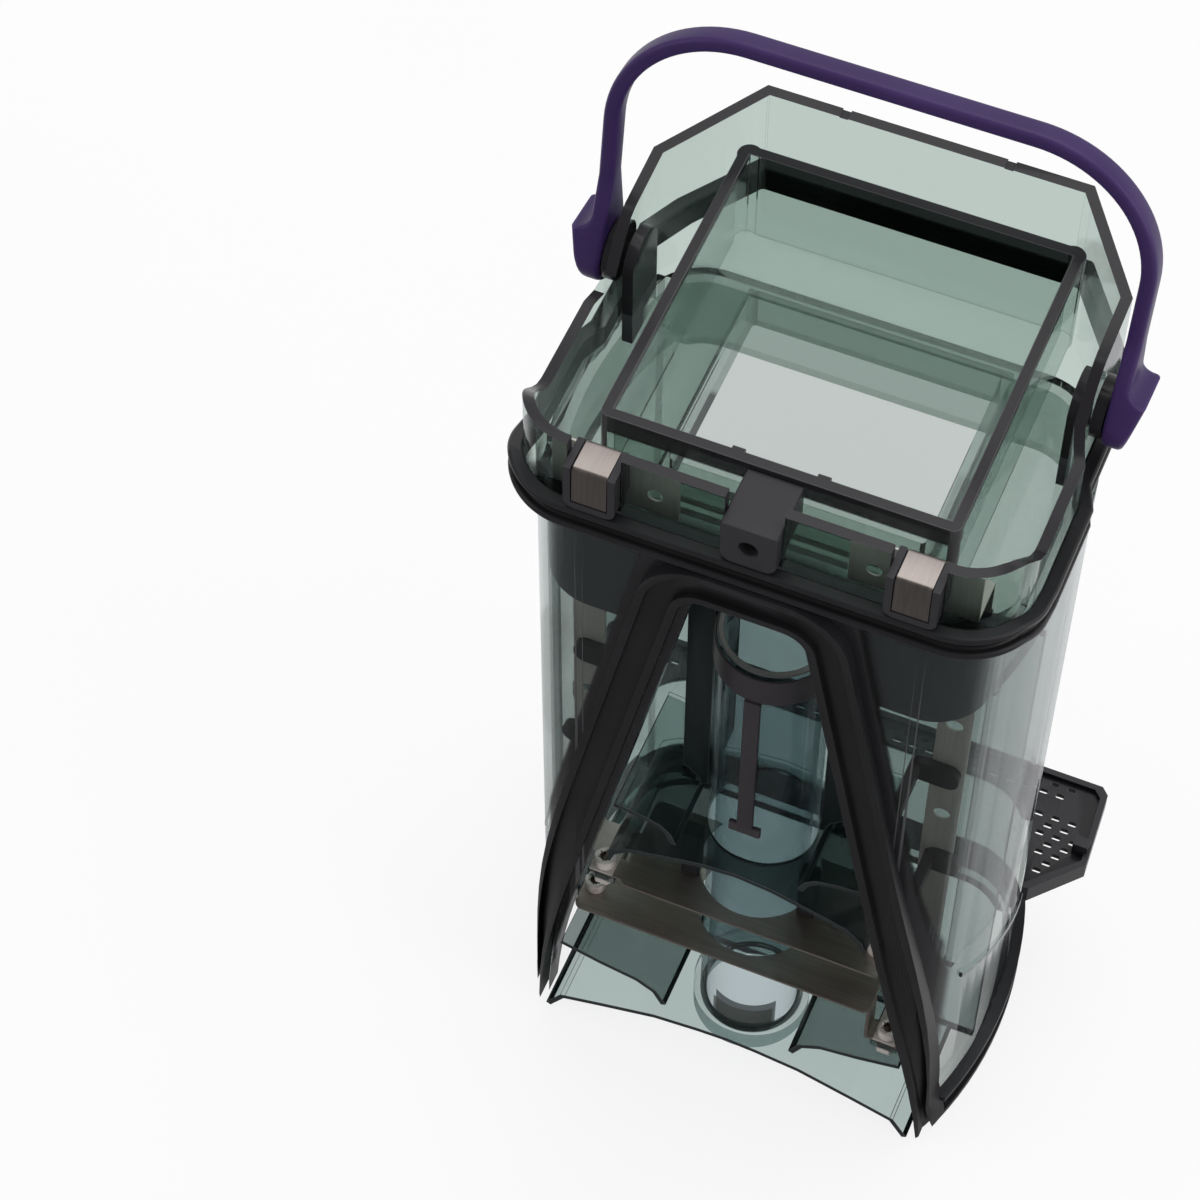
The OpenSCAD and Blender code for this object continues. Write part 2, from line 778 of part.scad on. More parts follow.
// Solid part of the collar, before its openings are cut
module collar_solid() {
    plug_in = wall + slip;
    intersection() {
        upright(body_h, body_h + rim_rear) difference() {
            collar_plan(0);
            collar_plan(collar_wall);
        }
        along_x(-far, far) polygon(under(rim_line, body_h - 1, 0));
        along_x(-far, far) polygon(band(joint_line, 0, far));
    }
    intersection() {
        upright(body_h, front_top + plug_t) difference() {
            union() {
                collar_plan(0);
                intersection() {
                    body_plan(0);
                    behind(step_back);
                }
            }
            body_plan(plug_in + plug_t);
        }
        along_x(-far, far) polygon(band(joint_line, 0, plug_t));
    }
    intersection() {
        upright(body_h - plug_depth, front_top + plug_t) difference() {
            body_plan(plug_in);
            body_plan(plug_in + plug_t);
        }
        along_x(-far, far) polygon(under(joint_line, 0, plug_t));
    }
    upright(body_h, deck_top) {
        body_plan(plug_in + plug_t / 2);
        intersection() {
            collar_plan(collar_wall / 2);
            behind(step_back);
        }
    }
    both() {
        along_x(flat_w / 2 - boss_d, flat_w / 2 - collar_wall / 2) {
            translate([pivot_y, pivot_z]) circle(pivot_boss_r);
            translate([pivot_y - pivot_boss_r, body_h + 1])
                square([2 * pivot_boss_r, pivot_h - 1]);
        }
        translate([flat_w / 2 - collar_wall, pivot_y, pivot_z]) rotate([0, 90, 0])
            cylinder(h = arm_in - slip - flat_w / 2 + collar_wall, r = hub_r - 1);
        translate([flat_w / 2 - collar_wall, pivot_y, pivot_z]) rotate([0, 90, 0])
            cylinder(h = arm_in + peg_reach - flat_w / 2 + collar_wall, r = peg_r);
    }
}

module collar_housing() {
    color([0.5, 0.58, 0.57, 0.5]) at_body() {
        difference() {
            collar_solid();
            // Passage for the seat's spout
            block(-passage_w / 2 - lip_t - slip, passage_w / 2 + lip_t + slip,
                passage_front - lip_t - slip, passage_front + passage_d + lip_t + slip,
                body_h - 1, deck_top + 1);
            // Room for the flange round the arch
            along_y(front_y, front_y + flange_depth + slip)
                arch_plan(-seal_half + slip, 0);
            // Slots for the contact strips
            both() block(strip_x - strip_w / 2 - slip, strip_x + strip_w / 2 + slip,
                strip_y - strip_t / 2 - slip, strip_y + strip_t / 2 + slip,
                body_h - 1, deck_top + 1);
            // Notches for the contact housings and the latch block
            both() block(contact_x - contact_w / 2 - rest_gap,
                contact_x + contact_w / 2 + rest_gap,
                front_y - 1, collar_front + collar_wall + 1, block_z, far * 2);
            block(-latch_w / 2 - rest_gap, latch_w / 2 + rest_gap,
                front_y - 1, collar_front + collar_wall + 1, block_z, far * 2);
            // Two small notches in the rear rim
            both() block(notch_x[0], notch_x[1], collar_rear - collar_wall - 1,
                collar_rear + 1, body_h + rim_rear - notch_h, far * 2);
        }
    }
}

module filter_seat() {
    out = seat_w / 2 + seat_wall;
    seat_rear = seat_front + seat_d;
    floor_top = deck_top + seat_floor_t;
    top = body_h + seat_top;
    color([0.45, 0.52, 0.52, 0.5]) at_body() {
        difference() {
            union() {
                upright(deck_top, top) {
                    round_box(-out, out, seat_front - seat_wall, seat_rear + seat_wall, 2);
                    for (side = [-1, 1]) {
                        translate([side * seat_w / 2, seat_rear]) circle(post_r);
                    }
                }
                upright(deck_top - spout_h, deck_top + 1)
                    round_box(-passage_w / 2 - lip_t, passage_w / 2 + lip_t,
                        passage_front - lip_t, passage_front + passage_d + lip_t, 2);
            }
            block(-seat_w / 2, seat_w / 2, seat_front, seat_rear, floor_top, far * 2);
            upright(deck_top - spout_h - 1, floor_top + 1)
                round_box(-passage_w / 2, passage_w / 2,
                    passage_front, passage_front + passage_d, 1);
        }
        // Bumps on the front bar
        both() block(bump_x[0], bump_x[1], seat_front - 0.5, seat_front + bump_d,
            top - bump_h, top);
    }
}

// Band with two lips that follows the collar
module main_seal() {
    lip_at = collar_seal_h / 2 - lip_w / 2;
    color([0.05, 0.05, 0.06]) at_body() {
        intersection() {
            upright(body_h, body_h + seal_reach) difference() {
                collar_plan(-seal_band);
                collar_plan(0);
            }
            along_x(-far, far)
                polygon(band(seal_line, -collar_seal_h / 2, collar_seal_h / 2));
        }
        for (z = [-lip_at, lip_at]) {
            intersection() {
                upright(body_h, body_h + seal_reach) difference() {
                    collar_plan(-collar_lip);
                    collar_plan(-seal_band / 2);
                }
                along_x(-far, far) polygon(band(seal_line, z - lip_w / 2, z + lip_w / 2));
            }
        }
    }
}

// Ring round the housing at a given height above its wall
module seal_ring(proud, inside) {
    upright(0, front_top) difference() {
        body_plan(-proud);
        body_plan(-inside);
    }
}

module arch_seal() {
    lip_at = seal_half - lip_w / 2;
    seal_back = front_y + corner_r - 2;
    side_mid = seal_foot + seal_half;
    color([0.05, 0.05, 0.06]) at_body() {
        intersection() {
            seal_ring(seal_band, 0);
            along_y(front_y - 10, seal_back) arch_band(-seal_half, seal_half, seal_foot);
        }
        for (grow = [-lip_at, lip_at]) {
            intersection() {
                seal_ring(arch_lip, seal_band / 2);
                along_y(front_y - 10, seal_back)
                    arch_band(grow - lip_w / 2, grow + lip_w / 2, seal_foot);
            }
        }
        difference() {
            union() {
                intersection() {
                    seal_ring(seal_band, 0);
                    along_x(-far, far)
                        polygon(band([[-far, side_mid], [far, side_mid]], -seal_half, seal_half));
                }
                for (z = [-lip_at, lip_at]) {
                    intersection() {
                        seal_ring(arch_lip, seal_band / 2);
                        along_x(-far, far)
                            polygon(band([[-far, side_mid + z], [far, side_mid + z]],
                                -lip_w / 2, lip_w / 2));
                    }
                }
            }
            block(-far, far, front_y - 10, seal_back - 1, -1, far);
        }
    }
}

module latch_block() {
    color([0.09, 0.09, 0.1]) at_body() {
        difference() {
            along_y(contact_front, seat_front - seat_wall - tube_gap) union() {
                round_box(-latch_w / 2, latch_w / 2, block_z, block_z + latch_h, 3);
                translate([-latch_w / 2, block_z + latch_h / 2])
                    square([latch_w, latch_h / 2]);
            }
            translate([0, front_y - 10, block_z + latch_h / 2])
                rotate([-90, 0, 0]) cylinder(h = far, r = latch_hole_r);
        }
    }
}

// Middle line of a spring, as depth and height
spring_top = block_z + contact_h - strip_t / 2;
spring_front = contact_front + strip_t / 2;
spring_back = contact_plate_y - strip_t * 1.5;
spring_path = [
    [spring_back, block_z + 1], [spring_back, spring_top - 1],
    [spring_back - 1, spring_top], [spring_front + 1, spring_top],
    [spring_front, spring_top - 1], [spring_front, block_z + 2.5]
];

// Dark housing in a notch of the collar, with a groove for its spring
module contact_housing() {
    x0 = contact_x - contact_w / 2;
    x1 = contact_x + contact_w / 2;
    top = block_z + contact_h;
    difference() {
        along_y(contact_front, contact_back) union() {
            round_box(x0, x1, block_z, top, 2.5);
            translate([x0, block_z + contact_h / 2]) square([contact_w, contact_h / 2]);
        }
        along_y(contact_front - 1, contact_front + strip_t)
            translate([contact_x - spring_w / 2 - rest_gap, block_z + 2])
                square([spring_w + 2 * rest_gap, contact_h]);
        block(contact_x - spring_w / 2 - rest_gap, contact_x + spring_w / 2 + rest_gap,
            contact_front - 1, contact_back + 1, top - strip_t, top + 1);
        along_x(contact_x - spring_w / 2 - rest_gap, contact_x + spring_w / 2 + rest_gap)
            polygon(ribbon(spring_path, strip_t + 2 * tube_gap));
    }
}

module left_contact_housing() {
    color([0.1, 0.1, 0.11]) at_body() mirror([1, 0, 0]) contact_housing();
}

module right_contact_housing() {
    color([0.1, 0.1, 0.11]) at_body() contact_housing();
}

// Spring folded over the contact housing, down to the strip's plate
module contact_spring() {
    along_x(contact_x - spring_w / 2, contact_x + spring_w / 2)
        polygon(ribbon(spring_path, strip_t));
}

module left_contact_spring() {
    color([0.78, 0.7, 0.66]) at_body() mirror([1, 0, 0]) contact_spring();
}

module right_contact_spring() {
    color([0.78, 0.7, 0.66]) at_body() contact_spring();
}

// Outline of the tray round the rear of the housing
tray_half = tray_w / 2;
tray_rear = rear_y + tray_back;
wing_front = 20;
wing_corner = 32.6;
tray_lip = 1.5;
module tray_plan(inset) {
    front_half = bulge_x(wing_front, 0) + 2;
    lean = (tray_half - front_half) / (wing_corner - wing_front);
    cut = inset * (1 + lean);
    polygon(mirrored_outline([
        [front_half - inset, wing_front + cut - inset * lean],
        [tray_half - inset, wing_corner + inset * 0.4],
        [tray_half - 1.5 - inset, tray_rear - 2 - inset],
        [tray_half - 3.5 - inset, tray_rear - inset]
    ]));
}

// Oval drain hole
module drain(x, y) {
    translate([x, y]) {
        square([drain_l - drain_w, drain_w], center = true);
        for (side = [-1, 1]) {
            translate([side * (drain_l - drain_w) / 2, 0]) circle(drain_w / 2, $fn = 24);
        }
    }
}

drain_pitch = 4.5;
drain_row = 2.75;
drain_margin = tray_rim_t + drain_l / 2 + 0.7;
module drains() {
    // Wings
    for (row = [0:8], col = [0:3], side = [-1, 1]) {
        y = wing_front + 7 + row * drain_row;
        x = bulge_x(y, 0) + drain_margin - 0.5 + (col + (row % 2) / 2) * drain_pitch;
        edge = min(tray_half - 1.5, tray_half - 1.5 + (y - wing_corner));
        if (x < edge - drain_margin && y < rear_y - 2) {
            drain(side * x, y);
        }
    }
    // Rear strip
    for (row = [0:1], col = [-13:13]) {
        x = (col + row / 2) * drain_pitch;
        y = rear_y + 2.3 + row * drain_row;
        if (abs(x) < tray_half - 3.5 - drain_margin) {
            drain(x, y);
        }
    }
}

module strainer_tray() {
    color([0.05, 0.05, 0.06]) at_body() {
        difference() {
            union() {
                upright(tray_z - tray_t, tray_z) difference() {
                    tray_plan(0);
                    drains();
                }
                upright(tray_z - tray_rim_h + tray_lip, tray_z + tray_lip) difference() {
                    tray_plan(0);
                    tray_plan(tray_rim_t);
                }
                both() block(tray_half - 5, tray_half - 1, wing_corner + 3,
                    wing_corner + 6, tray_z - 1, tray_z + 4);
            }
            upright(0, tray_z + 10) body_plan(-slip);
            upright(0, tray_z - tray_t) body_plan(-0.8 - slip);
        }
    }
}

// Side view of a hub that narrows up into the arm
module hub_side() {
    half = bar_d / 2 - blend_in;
    reach = norm([half, hub_top]);
    turn = atan2(hub_top, half) - acos(hub_r / reach);
    start = (hub_r - tube_gap) * [cos(turn), sin(turn)];
    circle(hub_r);
    polygon([start, [half, hub_top], [-half, hub_top], [-start[0], start[1]]]);
}

// Outline of the bail between its arms
module bail_plan(half_w, foot, top, r) {
    translate([-half_w, foot]) square([2 * half_w, top - r - foot]);
    translate([-half_w + r, foot]) square([2 * (half_w - r), top - foot]);
    intersection() {
        translate([-half_w, foot]) square([2 * half_w, top - foot]);
        for (side = [-1, 1]) {
            translate([side * (half_w - r), top - r]) circle(r, $fn = 96);
        }
    }
}

// Front view of a hub: a sloping outer face, a sharp corner and a hollow fillet
module hub_front() {
    hub_out = arm_in + hub_len;
    arm_face = arm_out - blend_in;
    fillet = hub_out - arm_face;
    polygon(concat(
        [[arm_in, -far], [arm_out + hub_step, -far], [arm_out + hub_step, -hub_r]],
        [for (i = [0:6]) let (a = 90 * i / 6)
            [hub_out - fillet * sin(a), hub_corner + fillet - fillet * cos(a)]],
        [[arm_face, hub_top], [arm_in, hub_top]]));
}

module handle() {
    color([0.29, 0.19, 0.47]) at_body()
        translate([0, pivot_y, pivot_z]) rotate([-handle_lean, 0, 0]) {
            difference() {
                union() {
                    along_y(-bar_d / 2, bar_d / 2) difference() {
                        bail_plan(arm_out, bail_foot, handle_l, bend_r);
                        bail_plan(arm_in, bail_foot - 1, handle_l - bar_t,
                            bend_r - bar_t);
                    }
                    both() intersection() {
                        along_x(arm_in, arm_in + hub_len) hub_side();
                        along_y(-far, far) hub_front();
                    }
                }
                both() translate([arm_in - 1, 0, 0]) rotate([0, 90, 0])
                    cylinder(h = far, r = peg_r + pivot_gap);
            }
        }
}

lower_housing();
baffle_core();
inlet_tube();
tube_ring();
level_rib();
upper_electrode();
lower_electrode();
left_pad();
right_pad();
electrode_screws();
electrode_nuts();
left_contact_strip();
right_contact_strip();
upper_left_clip();
upper_right_clip();
lower_left_clip();
lower_right_clip();
collar_housing();
filter_seat();
main_seal();
arch_seal();
latch_block();
left_contact_housing();
right_contact_housing();
left_contact_spring();
right_contact_spring();
strainer_tray();
handle();
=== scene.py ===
# %% [markdown]
# # Dressing a clear tank separator
# The frame holds the real construction: a smoked clear housing, a collar, a core of curved
# baffles, two steel plates, seals, a strainer tray and a bail handle. This lesson keeps every
# size and place as it is, and gives the parts their finish. What a moulder rounds or bends,
# such as the handle, the rubber lips and the springs, is modelled again in finer form.

# %% Load the frame
import json
import math

import bmesh
import bpy
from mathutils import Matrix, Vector
from mathutils.bvhtree import BVHTree


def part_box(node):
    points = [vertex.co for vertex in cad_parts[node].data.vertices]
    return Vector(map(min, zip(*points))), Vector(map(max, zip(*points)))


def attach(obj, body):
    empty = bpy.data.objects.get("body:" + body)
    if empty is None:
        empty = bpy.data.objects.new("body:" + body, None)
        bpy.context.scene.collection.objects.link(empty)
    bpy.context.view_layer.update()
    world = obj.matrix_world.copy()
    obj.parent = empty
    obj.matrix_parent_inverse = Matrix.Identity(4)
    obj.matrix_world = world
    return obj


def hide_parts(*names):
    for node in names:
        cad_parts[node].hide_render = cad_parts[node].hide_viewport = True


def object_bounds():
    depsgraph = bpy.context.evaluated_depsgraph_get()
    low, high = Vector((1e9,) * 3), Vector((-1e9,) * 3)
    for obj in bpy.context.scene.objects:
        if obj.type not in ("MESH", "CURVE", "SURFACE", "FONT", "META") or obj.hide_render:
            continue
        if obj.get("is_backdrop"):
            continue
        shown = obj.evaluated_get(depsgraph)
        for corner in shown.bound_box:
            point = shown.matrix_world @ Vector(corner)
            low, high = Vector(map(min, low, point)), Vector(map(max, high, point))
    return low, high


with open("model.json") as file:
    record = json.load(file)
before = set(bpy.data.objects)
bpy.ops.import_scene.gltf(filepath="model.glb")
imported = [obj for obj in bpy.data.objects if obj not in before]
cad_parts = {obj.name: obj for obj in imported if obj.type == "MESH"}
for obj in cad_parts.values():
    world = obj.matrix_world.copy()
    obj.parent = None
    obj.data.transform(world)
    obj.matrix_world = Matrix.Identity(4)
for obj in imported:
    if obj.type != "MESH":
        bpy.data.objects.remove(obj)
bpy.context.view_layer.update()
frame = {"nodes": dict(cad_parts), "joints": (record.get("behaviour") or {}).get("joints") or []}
MM = 0.001

# %% [markdown]
# ## Shader maths that reads like maths
# A finish is mostly arithmetic: this mask times that one, less a third. One small class wraps
# an output socket, so that `1 - mask * 0.3` adds the Math nodes by itself. Every other node
# comes from the method `node`, which sets the node's own options first and its sockets after.

# %% A socket that can be added and multiplied
class Wire:
    """One output of a shader tree. Sums and products of wires add Math nodes."""

    def __init__(self, tree, socket):
        self.tree = tree
        self.socket = socket

    def node(self, kind, settings, inputs, out=0):
        """Adds a node: its settings first, then a value or a wire for each socket."""
        made = self.tree.nodes.new(kind)
        for name, value in settings.items():
            if name == "stops":
                ramp = made.color_ramp.elements
                while len(ramp) < len(value):
                    ramp.new(0.5)
                for stop, (place, grey) in zip(ramp, value):
                    stop.position = place
                    stop.color = (grey, grey, grey, 1)
            else:
                setattr(made, name, value)
        for name, value in inputs.items():
            if isinstance(value, Wire):
                self.tree.links.new(value.socket, made.inputs[name])
            else:
                made.inputs[name].default_value = value
        return Wire(self.tree, made.outputs[out])

    def maths(self, operation, first, second=0.0):
        return self.node("ShaderNodeMath", {"operation": operation}, {0: first, 1: second})

    def __add__(self, other):
        return self.maths("ADD", self, other)

    __radd__ = __add__

    def __sub__(self, other):
        return self.maths("SUBTRACT", self, other)

    def __rsub__(self, other):
        return self.maths("SUBTRACT", other, self)

    def __mul__(self, other):
        return self.maths("MULTIPLY", self, other)

    __rmul__ = __mul__

    def __pow__(self, other):
        return self.maths("POWER", self, other)

    def __abs__(self):
        return self.maths("ABSOLUTE", self)

    def __gt__(self, other):
        return self.maths("GREATER_THAN", self, other)

    def __lt__(self, other):
        return self.maths("LESS_THAN", self, other)

    def most(self, other):
        return self.maths("MAXIMUM", self, other)

    def least(self, other):
        return self.maths("MINIMUM", self, other)

    def ramp(self, low, high):
        """0 at low, 1 at high, smooth between them."""
        span = {"From Min": low, "From Max": high, "To Min": 0.0, "To Max": 1.0}
        return self.node("ShaderNodeMapRange", {"interpolation_type": "SMOOTHSTEP"}, {"Value": self, **span})

    def colours(self, first, second):
        """A colour between two, by this wire."""
        settings = {"data_type": "RGBA"}
        return self.node("ShaderNodeMix", settings, {0: self, 6: (*first, 1), 7: (*second, 1)}, out=2)

    def blend(self, share, second):
        """This colour, mixed with a plain one by another wire."""
        settings = {"data_type": "RGBA"}
        return self.node("ShaderNodeMix", settings, {0: share, 6: self, 7: (*second, 1)}, out=2)


print("socket maths ready")

# %% [markdown]
# ## Where a point of the surface is
# All the finishes are laid out in the frame's own metres. The Geometry node gives the place of
# each point, and dividing it into x, y and z lets a mask say "the skirt" or "near the arch".
# Nothing here knows where the camera stands, so the finish stays put from every side.

# %% A new finish, its output and its coordinates
def new_finish(name):
    material = bpy.data.materials.new(name)
    material.use_nodes = True
    material.node_tree.nodes.clear()
    start = Wire(material.node_tree, None)
    place = start.node("ShaderNodeTexCoord", {}, {}, out="Object")
    return material, place


def close_finish(material, surface):
    tree = material.node_tree
    output = tree.nodes.new("ShaderNodeOutputMaterial")
    tree.links.new(surface.socket, output.inputs["Surface"])
    return material


def axis(place, letter):
    return place.node("ShaderNodeSeparateXYZ", {}, {0: place}, out=letter)


def noise(place, scale, detail=3.0):
    return place.node("ShaderNodeTexNoise", {}, {"Vector": place, "Scale": scale, "Detail": detail})


def bumped(place, height, strength, distance):
    inputs = {"Height": height, "Strength": strength, "Distance": distance}
    return place.node("ShaderNodeBump", {}, inputs, out="Normal")


def plastic(place, **inputs):
    """A Principled shader. Keyword names stand for its sockets."""
    named = {key.replace("_", " "): value for key, value in inputs.items()}
    return place.node("ShaderNodeBsdfPrincipled", {}, named)


print("coordinates ready")

# %% [markdown]
# ## Clear smoke plastic
# The housing is grey-green and clear where you look through a wall, and nearly black where you
# look into its length, as on a rim or a rib's end. A refracting glass would show that too, but it
# is slow and grainy through ten walls. So each face carries one number, how deep the plastic is
# behind it: thin faces get a tinted Transparent shader, and deep faces a dark glossy one.
# The facing angle adds what every clear part shows, a pale sheen where it is seen edge-on.

# %% Tints and the smoke finish
HOUSING_TINT = (0.755, 0.785, 0.775)
CLEAR_TINT = (0.73, 0.785, 0.76)
CORE_TINT = (0.68, 0.74, 0.73)
TUBE_TINT = (0.72, 0.77, 0.785)
DEEP_SMOKE = (0.018, 0.0165, 0.019)
SKIRT_SMOKE = (0.062, 0.061, 0.068)
# A paler colour painted on the rounded edges of the dark smoke plastic: a painted highlight.
EDGE_HIGHLIGHT = (0.085, 0.085, 0.09)
DEEP_TEAL = (0.013, 0.018, 0.019)
DULL_OLIVE = (0.058, 0.064, 0.056)
THIN_DEPTH = 2.9
DEEP_DEPTH = 5.0
housing_low, housing_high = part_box("lower_housing")
seat_low, seat_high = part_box("filter_seat")
FRONT = housing_low.y
RIM = housing_high.z


def smoke(name, tint, dark_zone, clear_zone=None, deep=DEEP_SMOKE, low_share=0.0):
    """Clear plastic. The zones add darkness, or take it away, from 0 to 1 at each place.
    low_share gives what lies under the rim the greyer tone of a doubled wall."""
    material, place = new_finish(name)
    depth = place.node("ShaderNodeAttribute", {"attribute_name": "depth"}, {}, out="Fac")
    solid = depth.ramp(THIN_DEPTH, DEEP_DEPTH)
    if clear_zone:
        solid = solid * (1 - clear_zone(place))
    if dark_zone:
        solid = solid.most(dark_zone(place))
    ripple = bumped(place, noise(place, 90.0, 2.0), 0.05, 0.2 * MM)
    window = place.node("ShaderNodeBsdfTransparent", {}, {"Color": (*tint, 1)})
    sheen = place.node("ShaderNodeBsdfAnisotropic", {}, {"Color": (0.9, 0.9, 0.92, 1), "Roughness": 0.09})
    facing = place.node("ShaderNodeLayerWeight", {}, {"Blend": 0.5}, out="Facing")
    pane = place.node("ShaderNodeMixShader", {}, {0: facing ** 5.0 * 0.65 + 0.015, 1: window, 2: sheen})
    edge = place.node("ShaderNodeAttribute", {"attribute_name": "edge"}, {}, out="Fac")
    skirt = (axis(place, "Z") < RIM + 2 * MM) * (edge < 0.5)
    # Narrow faces of rounded edges take a paler base colour here, a painted highlight.
    shade = (skirt * low_share).colours(deep, SKIRT_SMOKE).blend(edge * 0.7, EDGE_HIGHLIGHT)
    mass = plastic(place, Base_Color=shade, Roughness=0.26, Specular_IOR_Level=0.2, Normal=ripple)
    surface = place.node("ShaderNodeMixShader", {}, {0: solid, 1: pane, 2: mass})
    return close_finish(material, surface)


print("clear tint", CLEAR_TINT, "deep beyond", DEEP_DEPTH, "mm")

# %% [markdown]
# ## Where the clear parts turn dark
# Two walls of smoke plastic lie on each other round the collar's skirt, and the flange behind the
# arch seal is seen along its depth, so both read as nearly black. The curved baffles are darker
# the more they are stacked. Each of these is a small function of place, laid out from the same
# sizes as the construction.

# %% Dark zones of the housing, the collar and the core
ARCH_HALF = 33.3
ARCH_HEIGHT = 146.0
ARCH_SLOPE = math.radians(11.3)
SEAL_HALF = 4.75
TUBE_BACK = -30.35


def front_face(place, start, end):
    """1 on the front of the part, 0 from a distance behind it."""
    return 1 - axis(place, "Y").ramp(FRONT + start * MM, FRONT + end * MM)


def housing_zone(place):
    across = abs(axis(place, "X")) * (1 / MM)
    height = axis(place, "Z") * (1 / MM)
    leg = (ARCH_HEIGHT - height) * math.tan(ARCH_SLOPE) + ARCH_HALF
    beyond = (across - leg) * math.cos(ARCH_SLOPE) - SEAL_HALF
    right = axis(place, "X") > 0.0
    flank = front_face(place, 9.0, 13.0) * right + front_face(place, 3.5, 5.0) * (1 - right)
    return (1 - beyond.ramp(1.9, 3.0)) * flank * 0.94


def collar_zone(place):
    skirt = 1 - axis(place, "Z").ramp(RIM + 1 * MM, RIM + 3 * MM)
    return skirt * front_face(place, 12.0, 19.0) * 0.97


def core_zone(place):
    height = axis(place, "Z") * (1 / MM)
    middle = height.ramp(84.0, 86.0) * (1 - height.ramp(104.0, 105.5))
    lower = height.ramp(25.0, 27.0) * (1 - height.ramp(41.0, 44.0))
    ahead = 1 - axis(place, "Y").ramp(-18.0 * MM, -15.5 * MM)
    return (middle * 0.55 + lower * 0.3) * ahead


def boss_clear(place):
    """The boss round the tube's foot, which is clear all through."""
    across = axis(place, "X") * (1 / MM)
    behind = axis(place, "Y") * (1 / MM) - TUBE_BACK
    away = (abs(across) ** 2.0 + abs(behind) ** 2.0) ** 0.5
    return (1 - away.ramp(17.2, 17.8)) * (1 - axis(place, "Z").ramp(24 * MM, 26 * MM)) * 0.9


def tube_zone(place):
    """A dull patch low on the tube's front."""
    across = 1 - abs(axis(place, "X") * (1 / MM) - 1.5).ramp(7.6, 7.8)
    height = axis(place, "Z") * (1 / MM)
    band = height.ramp(11.4, 11.6) * (1 - height.ramp(29.0, 29.2))
    return across * band * front_face(place, 15.0, 15.2) * 0.8


def seat_zone(place):
    """The frame's upper edge on its front and its two sides."""
    drop = (seat_high.z - axis(place, "Z")) * (1 / MM)
    ahead = 1 - axis(place, "Y").ramp(seat_low.y + 2.9 * MM, seat_low.y + 3.1 * MM)
    beside = abs(axis(place, "X")).ramp(seat_high.x - 3.1 * MM, seat_high.x - 2.9 * MM)
    side_band = beside * (1 - drop.ramp(1.4, 1.9))
    return side_band.most(ahead * (1 - drop.ramp(5.0, 5.8))) * 0.96


def spout_clear(place):
    """The thin rear edges of the seat's passage and spout."""
    return axis(place, "Y").ramp(4 * MM, 6 * MM) * (1 - axis(place, "Z").ramp(232 * MM, 234 * MM)) * 0.8


def skirt_clear(place):
    """The lower edge of the collar's skirt at the rear."""
    return axis(place, "Y").ramp(8 * MM, 14 * MM) * (1 - axis(place, "Z").ramp(RIM - 4 * MM, RIM - 2 * MM)) * 0.8


housing_smoke = smoke("housing_smoke", HOUSING_TINT, housing_zone)
collar_smoke = smoke("collar_smoke", CLEAR_TINT, collar_zone, skirt_clear, DEEP_SMOKE, 1.0)
core_smoke = smoke("core_smoke", CORE_TINT, core_zone, boss_clear, DEEP_TEAL)
seat_smoke = smoke("seat_smoke", CLEAR_TINT, seat_zone, spout_clear)
tube_smoke = smoke("tube_smoke", TUBE_TINT, tube_zone, None, DULL_OLIVE)
print("front at", round(FRONT / MM, 2), "rim at", round(RIM / MM, 1))

# %% [markdown]
# ## Opaque plastics and rubber
# The small blocks are moulded from the same dark smoke plastic as the rims. The seals are
# softer and duller, the tray has a fine spark-eroded skin, and the handle is a satin purple that
# pales a little at its edges, where hands and drawers rub it.

# %% Rubber, dark plastic and purple plastic
def moulded(name, colour, worn, rough, level, grain, depth):
    """Opaque plastic or rubber: a fine skin, slow patches of shade and paler edges."""
    material, place = new_finish(name)
    patches = noise(place, 38.0, 4.0)
    skin = noise(place, grain, 2.0)
    curve = place.node("ShaderNodeNewGeometry", {}, {}, out="Pointiness")
    edge = curve.ramp(0.505, 0.56)
    shade = (edge * 0.6 + patches.ramp(0.35, 0.75) * 0.3).colours(colour, worn)
    surface = plastic(
        place,
        Base_Color=shade,
        Roughness=patches * 0.16 + (rough - 0.08),
        Specular_IOR_Level=level,
        Normal=bumped(place, skin, 0.35, depth * MM),
    )
    return close_finish(material, surface)


black_rubber = moulded("black_rubber", (0.009, 0.009, 0.010), (0.022, 0.022, 0.025), 0.34, 0.2, 900.0, 0.03)
dark_plastic = moulded("dark_plastic", (0.018, 0.017, 0.019), (0.034, 0.032, 0.036), 0.36, 0.16, 1400.0, 0.02)
brown_smoke = moulded("brown_smoke", (0.026, 0.022, 0.025), (0.040, 0.036, 0.040), 0.34, 0.14, 1400.0, 0.02)
black_plastic = moulded("black_plastic", (0.008, 0.008, 0.010), (0.03, 0.03, 0.034), 0.34, 0.2, 2200.0, 0.03)
print("opaque finishes", black_rubber.name, dark_plastic.name, brown_smoke.name, black_plastic.name)


# %% Purple plastic with two gate marks
PURPLE = (0.029, 0.014, 0.073)
PURPLE_WORN = (0.062, 0.031, 0.13)
MARKS = (-17.3, 22.0)
MARK_RADIUS = 1.7


def purple_finish():
    material, place = new_finish("purple_plastic")
    across = axis(place, "X") * (1 / MM)
    back = axis(place, "Y") * (1 / MM) - 1.8
    ring = across * 0.0
    for mark in MARKS:
        away = ((across - mark) ** 2.0 + abs(back) ** 2.0) ** 0.5
        ring = ring + (1 - abs(away - MARK_RADIUS).ramp(0.1, 0.35))
    patches = noise(place, 45.0, 4.0)
    curve = place.node("ShaderNodeNewGeometry", {}, {}, out="Pointiness")
    shade = (curve.ramp(0.505, 0.57) * 0.7 + patches.ramp(0.3, 0.8) * 0.25).colours(PURPLE, PURPLE_WORN)
    relief = noise(place, 2600.0, 2.0) * 0.35 - ring
    surface = plastic(
        place,
        Base_Color=shade,
        Roughness=patches * 0.14 + 0.34,
        Specular_IOR_Level=0.22,
        Normal=bumped(place, relief, 0.5, 0.05 * MM),
    )
    return close_finish(material, surface)


